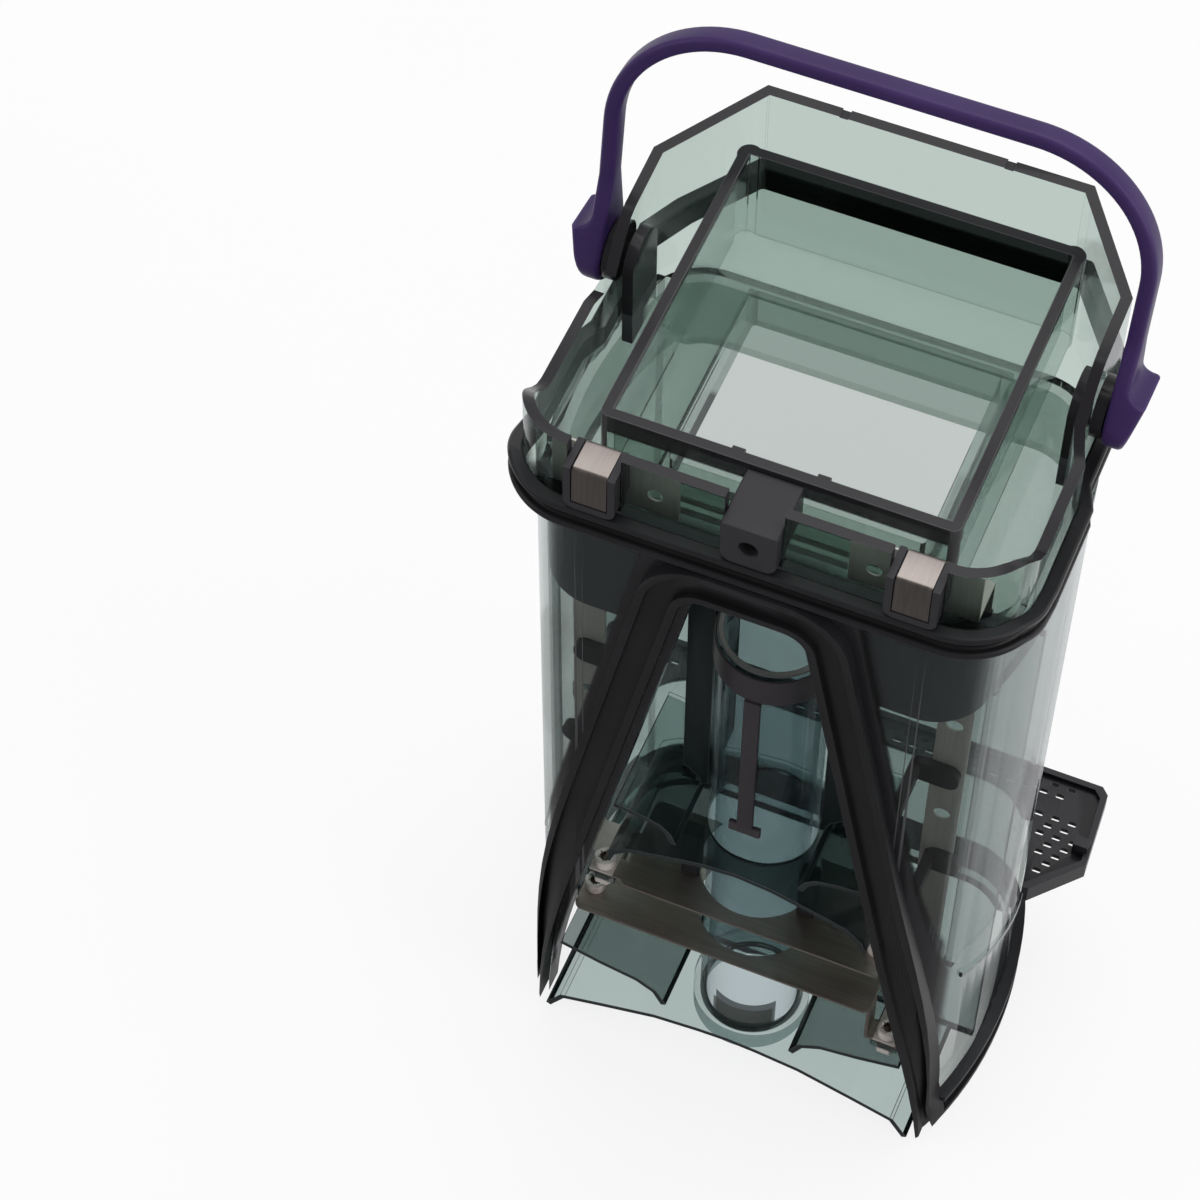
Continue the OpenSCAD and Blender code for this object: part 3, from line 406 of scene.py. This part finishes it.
purple_plastic = purple_finish()
print("purple", PURPLE, "with", len(MARKS), "gate marks")

# %% [markdown]
# ## Steel
# The plates, strips and springs are rolled stainless sheet, so their grain is a noise that is
# stretched along the rolling direction. It feeds the colour, the roughness and a faint bump.
# The screws are turned and tumbled, which is the same recipe with an even grain.

# %% Sheet steel and fasteners
# Dark brown painted shade for the inside of the screws' sockets.
SOCKET_SHADE_BROWN = (0.075, 0.055, 0.045)


def steel(name, dark, bright, rough, stretch, strength, metal=1.0):
    """Sheet steel. A tumbled or passivated skin has a metal share below 1, and faces marked inside a socket get a
    painted shade of dark brown.
    """
    material, place = new_finish(name)
    turned = place.node("ShaderNodeMapping", {}, {"Vector": place, "Scale": stretch})
    grain = noise(turned, 1.0, 5.0)
    stains = noise(place, 30.0, 3.0)
    shade = (grain.ramp(0.3, 0.7) * 0.5 + stains.ramp(0.3, 0.7) * 0.5).colours(dark, bright)
    # Faces that the mesh marks inside a screw's socket take the painted shade.
    recess = place.node("ShaderNodeAttribute", {"attribute_name": "recess"}, {}, out="Fac")
    surface = plastic(
        place,
        Base_Color=shade.blend(recess, SOCKET_SHADE_BROWN),
        Metallic=metal,
        Roughness=grain * 0.2 + (rough - 0.1),
        Normal=bumped(place, grain, strength, 0.05 * MM),
    )
    return close_finish(material, surface)


plate_steel = steel("plate_steel", (0.29, 0.245, 0.22), (0.42, 0.37, 0.335), 0.42, (60.0, 1800.0, 600.0), 0.12)
strip_steel = steel("strip_steel", (0.42, 0.39, 0.365), (0.54, 0.51, 0.48), 0.5, (1500.0, 600.0, 60.0), 0.12, 0.35)
spring_steel = steel("spring_steel", (0.19, 0.165, 0.155), (0.27, 0.24, 0.225), 0.34, (1400.0, 90.0, 90.0), 0.15)
screw_steel = steel("screw_steel", (0.62, 0.57, 0.54), (0.80, 0.75, 0.72), 0.32, (500.0, 500.0, 500.0), 0.1, 0.55)
print("steels ready")

# %% [markdown]
# ## Edges that a mould leaves
# A moulded edge is never sharp: it has a small radius, which catches the light as a thin line.
# A copy of each part gets its flat faces whole again, then a Bevel modifier rounds only the real
# edges, with hardened normals so that the flats stay flat. The copy stands where the part stood.

# %% Copy a part with clean faces and round its edges
def cleaned(node):
    """The node's mesh as a copy, with its flat faces whole again."""
    mesh = frame["nodes"][node].data.copy()
    work = bmesh.new()
    work.from_mesh(mesh)
    bmesh.ops.remove_doubles(work, verts=work.verts, dist=2e-6)
    bmesh.ops.dissolve_limit(work, angle_limit=math.radians(0.4), verts=work.verts, edges=work.edges)
    work.to_mesh(mesh)
    work.free()
    mesh.materials.clear()
    return mesh


def placed(name, mesh):
    piece = bpy.data.objects.new(name, mesh)
    bpy.context.scene.collection.objects.link(piece)
    return piece


def smoothed(mesh, sharp=35):
    mesh.polygons.foreach_set("use_smooth", [True] * len(mesh.polygons))
    mesh.set_sharp_from_angle(angle=math.radians(sharp))


def settled(piece):
    """Turns the piece's modifiers into its mesh."""
    graph = bpy.context.evaluated_depsgraph_get()
    mesh = bpy.data.meshes.new_from_object(piece.evaluated_get(graph))
    piece.modifiers.clear()
    piece.data = mesh
    return piece


def rounded_edges(piece, width, segments=2):
    smoothed(piece.data)
    bevel = piece.modifiers.new("edges", "BEVEL")
    bevel.width = width * MM
    bevel.segments = segments
    bevel.limit_method = "ANGLE"
    bevel.angle_limit = math.radians(35)
    bevel.harden_normals = True
    return settled(piece)


def dressed(piece, finish, slot, body, *nodes):
    """Gives a finished piece its material and its place among the bodies."""
    piece.data.materials.append(finish)
    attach(piece, body)
    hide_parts(*nodes)
    return piece


def eased(node, width, finish, slot, segments=2):
    piece = rounded_edges(placed(node + "_eased", cleaned(node)), width, segments)
    return dressed(piece, finish, slot, "separator", node)


print("edge tools ready")

# %% [markdown]
# ## How deep the plastic is behind each face
# The smoke finish needs that number. A ray goes inward from the middle of every triangle and
# measures the way to the far side. A face takes the middle value of its triangles, by area, so
# that a wall stays clear even where a rib meets it. The narrow faces of a rounded edge take
# the deepest value beside them, so that a rim is dark over its whole width.

# %% Measure the depth behind each face
NARROW = 0.32
PASSES = 2


def mark_faces(mesh, name, values):
    mesh.attributes.new(name, "FLOAT", "FACE").data.foreach_set("value", values)


def deepen_narrow(mesh, depths):
    """Gives the narrow faces the deepest value of the faces beside them, and lists them."""
    work = bmesh.new()
    work.from_mesh(mesh)
    narrow = []
    for face in work.faces:
        rim = sum(edge.calc_length() for edge in face.edges)
        if 2 * face.calc_area() / rim < NARROW * MM:
            narrow.append(face)
    for step in range(PASSES):
        found = dict(depths)
        for face in narrow:
            beside = [depths.get(other.index, 0.0) for edge in face.edges for other in edge.link_faces]
            found[face.index] = max(beside)
        depths = found
    slim = {face.index for face in narrow}
    work.free()
    return depths, slim


def mark_depth(piece):
    mesh = piece.data
    mesh.calc_loop_triangles()
    spots = [vertex.co.copy() for vertex in mesh.vertices]
    corners = [tuple(triangle.vertices) for triangle in mesh.loop_triangles]
    tree = BVHTree.FromPolygons(spots, corners, all_triangles=True)
    found = {}
    for triangle, three in zip(mesh.loop_triangles, corners):
        middle = (spots[three[0]] + spots[three[1]] + spots[three[2]]) / 3
        inward = -triangle.normal
        far = tree.ray_cast(middle + inward * 1e-5, inward)[3]
        deep = 100.0 if far is None else far / MM
        found.setdefault(triangle.polygon_index, []).append((deep, triangle.area))
    middles = {}
    for face, tries in found.items():
        half = sum(area for deep, area in tries) / 2
        for deep, area in sorted(tries):
            half -= area
            if half <= 0:
                middles[face] = deep
                break
    deepened, slim = deepen_narrow(mesh, middles)
    count = len(mesh.polygons)
    mark_faces(mesh, "depth", [deepened.get(i, 0.0) for i in range(count)])
    # The edge mark lets the smoke finish paint a highlight on the rounded edges.
    mark_faces(mesh, "edge", [float(i in slim) for i in range(count)])
    return piece


for node, width, finish, slot in (
    ("lower_housing", 0.35, housing_smoke, "smoke_clear"),
    ("collar_housing", 0.4, collar_smoke, "smoke_clear"),
    ("baffle_core", 0.3, core_smoke, "pale_clear"),
    ("filter_seat", 0.45, seat_smoke, "smoke_clear"),
    ("inlet_tube", 0.35, tube_smoke, "pale_clear"),
):
    clear = mark_depth(eased(node, width, finish, slot))
    print(node, "faces", len(clear.data.polygons))

# %% [markdown]
# ## Blocks, clips, pads and the tray
# These keep the construction's shape. Only their edges change: a soft radius on the dark blocks
# and clips, a small one on the tray's plate so that each drain hole gets a bright lip.

# %% Opaque parts with eased edges
SMALL_PARTS = (
    ("tube_ring", 0.3, brown_smoke, "dark_plastic"),
    ("level_rib", 0.3, brown_smoke, "dark_plastic"),
    ("left_pad", 0.5, black_rubber, "black_rubber"),
    ("right_pad", 0.5, black_rubber, "black_rubber"),
    ("upper_left_clip", 0.5, brown_smoke, "dark_plastic"),
    ("upper_right_clip", 0.5, brown_smoke, "dark_plastic"),
    ("lower_left_clip", 0.5, brown_smoke, "dark_plastic"),
    ("lower_right_clip", 0.5, brown_smoke, "dark_plastic"),
    ("latch_block", 0.5, dark_plastic, "dark_plastic"),
    ("left_contact_housing", 0.35, dark_plastic, "dark_plastic"),
    ("right_contact_housing", 0.35, dark_plastic, "dark_plastic"),
    ("strainer_tray", 0.2, black_plastic, "black_plastic"),
    ("electrode_nuts", 0.25, screw_steel, "fastener_steel"),
    ("upper_electrode", 0.15, plate_steel, "electrode_steel"),
    ("lower_electrode", 0.15, plate_steel, "electrode_steel"),
    ("left_contact_strip", 0.12, strip_steel, "contact_steel"),
    ("right_contact_strip", 0.12, strip_steel, "contact_steel"),
)
for node, width, finish, slot in SMALL_PARTS:
    eased(node, width, finish, slot)
print("eased", len(SMALL_PARTS), "opaque parts")

# %% [markdown]
# ## Seals
# Each seal is a soft band with two lips. The lips are half round in section, so a wide bevel with
# more segments turns their square tops into rolls, and the groove between them keeps its corners.

# %% Rubber lips
for node in ("arch_seal", "main_seal"):
    seal = eased(node, 0.75, black_rubber, "black_rubber", segments=3)
    print(node, "faces", len(seal.data.polygons))

# %% [markdown]
# ## The bail handle
# The handle is one moulding: a flat bar that bends round twice, and at each end swells into a
# hub with a sharp outer corner and a hollow fillet above it. A chain of rounded rectangles
# follows it, each with its own height, depth and place. Its sizes are those of the
# construction. Then the peg holes are cut.

# %% Sizes of the handle
PIVOT = Vector(frame["joints"][0]["pos_m"])
LEAN = math.radians(-8.7)
ARM_IN = 57.4
ARM_OUT = 61.0
REACH = 66.5
BAR_DEPTH = 5.6
BEND = 30.0
HUB = 8.0
HUB_OUT = 65.1
HUB_STEP = 0.5
HUB_CORNER = 7.5
HUB_TOP = 21.0
TANGENT = 2.1
PEG_HOLE = 2.55
CORNER = 1.2
CORNER_STEPS = 4


def ring(origin, outward, low, high, half):
    """Rounded rectangle across the bar, as points of the handle's own plane."""
    radius = min(CORNER, half * 0.85, (high - low) * 0.42)
    points = []
    for quarter, (side, back) in enumerate(((1, 1), (-1, 1), (-1, -1), (1, -1))):
        out = high - radius if side > 0 else low + radius
        for step in range(CORNER_STEPS + 1):
            turn = math.radians(90) * (quarter + step / CORNER_STEPS)
            away = out + radius * math.cos(turn)
            depth = back * (half - radius) + radius * math.sin(turn)
            points.append((origin[0] + outward[0] * away, depth, origin[1] + outward[1] * away))
    return points


def hub_reach(height):
    """How far out the hub reaches at a height above the pivot."""
    fillet = HUB_OUT - ARM_OUT
    if height >= HUB_CORNER + fillet:
        return ARM_OUT
    if height > HUB_CORNER:
        cosine = 1 - (height - HUB_CORNER) / fillet
        return HUB_OUT - fillet * math.sqrt(1 - cosine * cosine)
    foot = ARM_OUT + HUB_STEP
    return foot + (HUB_OUT - foot) * (height + HUB) / (HUB_CORNER + HUB)


def hub_half(height):
    """Half depth of the hub, narrowing up into the arm."""
    if height <= TANGENT:
        return math.sqrt(HUB * HUB - height * height)
    wide = math.sqrt(HUB * HUB - TANGENT * TANGENT)
    share = min(1.0, (height - TANGENT) / (HUB_TOP - TANGENT))
    return wide + (BAR_DEPTH / 2 - wide) * share


print("pivot", [round(v / MM, 2) for v in PIVOT], "reach", REACH)

# %% Rings from the crown down to the right hub
def handle_rings():
    thick = ARM_OUT - ARM_IN
    half = BAR_DEPTH / 2
    centre = (ARM_OUT - BEND, REACH - BEND)
    rings = [ring((centre[0] * i / 5, 0), (0, 1), REACH - thick, REACH, half) for i in range(5)]
    for i in range(25):
        turn = math.radians(90 - 90 * i / 24)
        rings.append(ring(centre, (math.cos(turn), math.sin(turn)), BEND - thick, BEND, half))
    for i in range(1, 7):
        height = centre[1] + (HUB_TOP - centre[1]) * i / 6
        rings.append(ring((0, height), (1, 0), ARM_IN, ARM_OUT, half))
    fillet = HUB_OUT - ARM_OUT
    turns = [math.radians(90 - 9 * i) for i in range(11)]
    heights = [HUB_TOP - 1.5 * i for i in range(1, 6)]
    heights += [HUB_CORNER + fillet * (1 - math.cos(turn)) for turn in turns]
    heights += [HUB_CORNER - 0.25, 6.0, 4.5, 3.2, TANGENT, 0.9]
    heights += [-HUB * math.sin(math.radians(a)) for a in (0, 12, 24, 36, 47, 57, 66, 74, 80, 84)]
    for height in heights:
        rings.append(ring((0, height), (1, 0), ARM_IN, hub_reach(height), hub_half(height)))
    return rings


right = handle_rings()
left = [[(-x, y, z) for x, y, z in points] for points in right[1:]]
print("rings on each side", len(right))

# %% Skin the rings, lean the handle and cut the peg holes
def skinned(chains):
    work = bmesh.new()
    loops = [[work.verts.new(point) for point in points] for points in chains]
    count = len(loops[0])
    for first, second in zip(loops, loops[1:]):
        for i in range(count):
            j = (i + 1) % count
            work.faces.new((first[i], first[j], second[j], second[i]))
    work.faces.new(loops[0])
    work.faces.new(loops[-1])
    bmesh.ops.recalc_face_normals(work, faces=work.faces)
    return work


def leaned(points):
    """From the handle's own plane to the frame."""
    cosine, sine = math.cos(LEAN), math.sin(LEAN)
    return [PIVOT + Vector((x, y * cosine - z * sine, y * sine + z * cosine)) * MM for x, y, z in points]


chain = [leaned(points) for points in left[::-1]] + [leaned(points) for points in right]
work = skinned(chain)
handle_mesh = bpy.data.meshes.new("bail")
work.to_mesh(handle_mesh)
work.free()
bail = placed("bail_handle", handle_mesh)
print("bail faces", len(handle_mesh.polygons), "size", [round(v / MM, 1) for v in bail.dimensions])


def peg_cutter(side):
    work = bmesh.new()
    bmesh.ops.create_cone(
        work, cap_ends=True, segments=48, radius1=PEG_HOLE * MM, radius2=PEG_HOLE * MM, depth=30 * MM)
    mesh = bpy.data.meshes.new("peg_cutter")
    work.to_mesh(mesh)
    work.free()
    cutter = placed("peg_cutter", mesh)
    cutter.rotation_euler = (0, math.radians(90), 0)
    cutter.location = PIVOT + Vector((side * (ARM_IN + HUB_OUT) / 2 * MM, 0, 0))
    return cutter


def cut(piece, cutter):
    hole = piece.modifiers.new("hole", "BOOLEAN")
    hole.operation = "DIFFERENCE"
    hole.solver = "EXACT"
    hole.object = cutter
    bpy.context.view_layer.update()
    settled(piece)
    bpy.data.objects.remove(cutter)


for side in (-1, 1):
    cut(bail, peg_cutter(side))
smoothed(bail.data, 42)
dressed(bail, purple_plastic, "purple_plastic", "handle", "handle")
print("bail with peg holes", len(bail.data.polygons))

# %% [markdown]
# ## Socket screws
# A screw is a turned profile, so a list of radii and heights is spun round. The socket is the same
# list with a six-sided radius: the distance to a hexagon's edge at each angle. Rounded ring
# threads stand for the helix, which is too fine to tell apart.

# %% Spin a profile with round and six-sided rings
SPIN = 48
SOCKET = 1.25
HEAD = 2.7
HEAD_HEIGHT = 3.0
PITCH = 0.5


def hexagon(flat, angle):
    sixth = math.radians(60)
    return flat / math.cos((angle % sixth) - sixth / 2)


def spun(work, profile, origin):
    """profile holds (radius, height, six_sided) from the bottom up and into the socket."""
    loops = []
    for radius, height, six in profile:
        loop = []
        for i in range(SPIN):
            angle = math.radians(360) * i / SPIN
            out = hexagon(radius, angle) if six else radius
            point = Vector((out * math.cos(angle), out * math.sin(angle), height)) * MM
            loop.append(work.verts.new(origin + point))
        loops.append(loop)
    for first, second in zip(loops, loops[1:]):
        for i in range(SPIN):
            j = (i + 1) % SPIN
            work.faces.new((first[i], first[j], second[j], second[i]))
    work.faces.new(loops[0][::-1])
    work.faces.new(loops[-1])


def screw_profile():
    threads = []
    for i in range(14):
        height = -7.8 + i * PITCH
        threads += [(1.28, height, False), (1.49, height + PITCH * 0.35, False), (1.49, height + PITCH * 0.6, False)]
    head = [(1.3, -0.5, False), (1.3, 0, False), (HEAD - 0.15, 0, False), (HEAD, 0.15, False)]
    head += [(HEAD, HEAD_HEIGHT - 0.45, False), (HEAD - 0.12, HEAD_HEIGHT - 0.15, False)]
    head += [(HEAD - 0.42, HEAD_HEIGHT, False), (1.75, HEAD_HEIGHT, False)]
    socket = [(SOCKET, HEAD_HEIGHT - 0.25, True), (SOCKET, 1.2, True), (0.35, 0.95, False)]
    return [(0.95, -8.0, False)] + threads + head + socket


SHEET = 0.6
PLATE = 0.8
UPPER_PLATE = 79.0
LOWER_PLATE = 60.0
LOWER_TAB = 46.2
SCREWS = (
    (-35.4, 7.0, UPPER_PLATE + PLATE + SHEET), (35.0, 10.5, UPPER_PLATE + PLATE),
    (-39.5, 10.5, LOWER_PLATE + PLATE), (41.1, 7.0, LOWER_TAB + PLATE + SHEET),
)
work = bmesh.new()
for across, behind, seat in SCREWS:
    spun(work, screw_profile(), Vector((across, FRONT / MM + behind, seat)) * MM)
bmesh.ops.recalc_face_normals(work, faces=work.faces)
screw_mesh = bpy.data.meshes.new("socket_screws")
work.to_mesh(screw_mesh)
work.free()
smoothed(screw_mesh, 40)
# Faces inside each socket are marked for the painted shade of the steel finish.
sunk = []
for face in screw_mesh.polygons:
    spot = face.center / MM
    nearest = min(SCREWS, key=lambda item: math.hypot(spot.x - item[0], spot.y - FRONT / MM - item[1]))
    out = math.hypot(spot.x - nearest[0], spot.y - FRONT / MM - nearest[1])
    sunk.append(float(out < SOCKET * 1.2 and spot.z > nearest[2] + 0.5))
mark_faces(screw_mesh, "recess", sunk)
dressed(placed("socket_screws", screw_mesh), screw_steel, "fastener_steel", "separator", "electrode_screws")
print("four socket screws, faces", len(screw_mesh.polygons))

# %% [markdown]
# ## Contact springs
# A spring is a strip of sheet folded over its housing. Real sheet folds round a radius, so the
# corners of the construction's path are replaced by arcs, and the strip is swept along them.

# %% Fold a strip along a path with round corners
SPRING_RADIUS = 1.3
spring_low, spring_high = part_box("right_contact_spring")


def rounded_path(points, radius, steps=6):
    """Replaces each inner corner by an arc that meets its two sides."""
    path = [points[0]]
    for before, corner, after in zip(points, points[1:], points[2:]):
        inward = (before - corner).normalized()
        onward = (after - corner).normalized()
        half = inward.angle(onward) / 2
        reach = radius / math.tan(half)
        middle = corner + (inward + onward).normalized() * (radius / math.sin(half))
        first = corner + inward * reach - middle
        last = corner + onward * reach - middle
        for i in range(steps + 1):
            path.append(middle + first.slerp(last, i / steps))
    return path + [points[-1]]


def spring_mesh(low, high):
    half = SHEET / 2 * MM
    rear, front, top = high.y - half, low.y + half, high.z - half
    corners = [(rear, low.z), (rear, top), (front, top), (front, low.z + 1.5 * MM)]
    path = rounded_path([Vector((0, y, z)) / MM for y, z in corners], SPRING_RADIUS)
    path = [point * MM for point in path]
    rings = []
    for i, point in enumerate(path):
        along = (path[min(i + 1, len(path) - 1)] - path[max(i - 1, 0)]).normalized()
        out = Vector((1, 0, 0)).cross(along) * half
        rings.append([point + out, point - out])
    work = bmesh.new()
    for x in (low.x, high.x):
        for pair in rings:
            for spot in pair:
                work.verts.new((x, spot.y, spot.z))
    work.verts.ensure_lookup_table()
    count = len(rings)
    at = lambda side, i, k: work.verts[side * count * 2 + i * 2 + k]
    for i in range(count - 1):
        work.faces.new((at(0, i, 0), at(0, i + 1, 0), at(1, i + 1, 0), at(1, i, 0)))
        work.faces.new((at(0, i, 1), at(1, i, 1), at(1, i + 1, 1), at(0, i + 1, 1)))
        for side in (0, 1):
            work.faces.new((at(side, i, 0), at(side, i, 1), at(side, i + 1, 1), at(side, i + 1, 0)))
    for i in (0, count - 1):
        work.faces.new((at(0, i, 0), at(1, i, 0), at(1, i, 1), at(0, i, 1)))
    bmesh.ops.recalc_face_normals(work, faces=work.faces)
    mesh = bpy.data.meshes.new("contact_spring")
    work.to_mesh(mesh)
    work.free()
    return mesh


for node in ("left_contact_spring", "right_contact_spring"):
    spring = placed(node + "_folded", spring_mesh(*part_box(node)))
    rounded_edges(spring, 0.14)
    dressed(spring, spring_steel, "contact_steel", "separator", node)
    print(node, "faces", len(spring.data.polygons))

# %% [markdown]
# ## Floor, light and camera
# The floor and the surroundings are plain and white to the camera, with a soft shadow left on the
# floor. The light on the part stays at a plain level: an even sky and three broad lamps. For
# reflections the surroundings are white behind and beside the part and grey on the camera's side,
# as in a light tent with one open face, which keeps the dark plastic dark.

# %% Floor and surroundings
def rays(place, kind):
    """1 for rays of one kind, else 0."""
    return place.node("ShaderNodeLightPath", {}, {}, out=f"Is {kind} Ray")


def floor_finish():
    material, place = new_finish("pale_floor")
    grain = noise(place, 8.0, 2.0).ramp(0.2, 0.8).colours((0.80, 0.80, 0.80), (0.83, 0.83, 0.83))
    matt = place.node("ShaderNodeBsdfDiffuse", {}, {"Color": grain})
    white = place.node("ShaderNodeEmission", {}, {"Color": (1, 1, 1, 1), "Strength": 1.0})
    behind = axis(place, "Y").ramp(-0.06, 0.06).colours((0.2, 0.2, 0.2), (0.95, 0.95, 0.95))
    mirrored = place.node("ShaderNodeEmission", {}, {"Color": behind, "Strength": 1.0})
    shown = rays(place, "Camera").most(rays(place, "Transmission"))
    direct = place.node("ShaderNodeMixShader", {}, {0: shown * 0.82, 1: matt, 2: white})
    surface = place.node("ShaderNodeMixShader", {}, {0: rays(place, "Glossy"), 1: direct, 2: mirrored})
    return close_finish(material, surface)


FLOOR_HALF = 6.0
work = bmesh.new()
corners = ((-1, -1), (1, -1), (1, 1), (-1, 1))
work.faces.new([work.verts.new((x * FLOOR_HALF, y * FLOOR_HALF, -0.05 * MM)) for x, y in corners])
floor_mesh = bpy.data.meshes.new("floor")
work.to_mesh(floor_mesh)
work.free()
floor_mesh.materials.append(floor_finish())
floor = placed("floor", floor_mesh)
floor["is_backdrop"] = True
print("floor", FLOOR_HALF * 2, "m across")

# %% World light
world = bpy.data.worlds.new("light_tent")
bpy.context.scene.world = world
world.use_nodes = True
world.node_tree.nodes.clear()
sky = Wire(world.node_tree, None)
towards = sky.node("ShaderNodeTexCoord", {}, {}, out="Generated")
open_side = (axis(towards, "Y") * 0.85 + axis(towards, "X") * 0.45).ramp(-0.35, 0.25)
tent = (open_side * 0.82 + 0.18).least(1.0)
direct = rays(sky, "Camera")
glossy = rays(sky, "Glossy")
even = (1 - direct) * (1 - glossy) * 0.72
strength = direct + (1 - direct) * glossy * tent + even
shine = sky.node("ShaderNodeBackground", {}, {"Color": (1, 1, 1, 1), "Strength": strength})
close = world.node_tree.nodes.new("ShaderNodeOutputWorld")
world.node_tree.links.new(shine.socket, close.inputs["Surface"])
print("world ready")

# %% Lamps
low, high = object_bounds()
middle = (low + high) / 2


def lamp(name, place, size, power):
    light = bpy.data.lights.new(name, "AREA")
    light.shape = "RECTANGLE"
    light.size, light.size_y = size
    light.energy = power
    holder = bpy.data.objects.new(name, light)
    holder.location = middle + Vector(place)
    holder.rotation_euler = (-Vector(place)).to_track_quat("-Z", "Y").to_euler()
    bpy.context.scene.collection.objects.link(holder)
    return holder


lamp("top_box", (0.1, 0.35, 1.3), (1.2, 1.0), 7.0)
lamp("right_box", (1.2, -0.2, 0.5), (0.8, 1.2), 5.0)
lamp("left_box", (-1.1, -0.6, 0.7), (0.8, 1.0), 3.0)

# %% Camera
CAMERA_PLACE = (0.1395, -0.46005, 0.8378)
CAMERA_TURN = (math.radians(34.94), 0, math.radians(23.01))
lens = bpy.data.cameras.new("photo_camera")
lens.lens = 107.0
lens.sensor_width = 36.0
lens.clip_start = 0.01
lens.clip_end = 30.0
camera = bpy.data.objects.new("photo_camera", lens)
camera.location = CAMERA_PLACE
camera.rotation_euler = CAMERA_TURN
bpy.context.scene.collection.objects.link(camera)
bpy.context.scene.camera = camera

scene = bpy.context.scene
scene.view_settings.view_transform = "Standard"
scene.cycles.transparent_max_bounces = 40
print("camera at", CAMERA_PLACE)

# %% Measure the visual box and finish
low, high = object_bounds()
print("visual box", [round(v / MM, 1) for v in high - low])
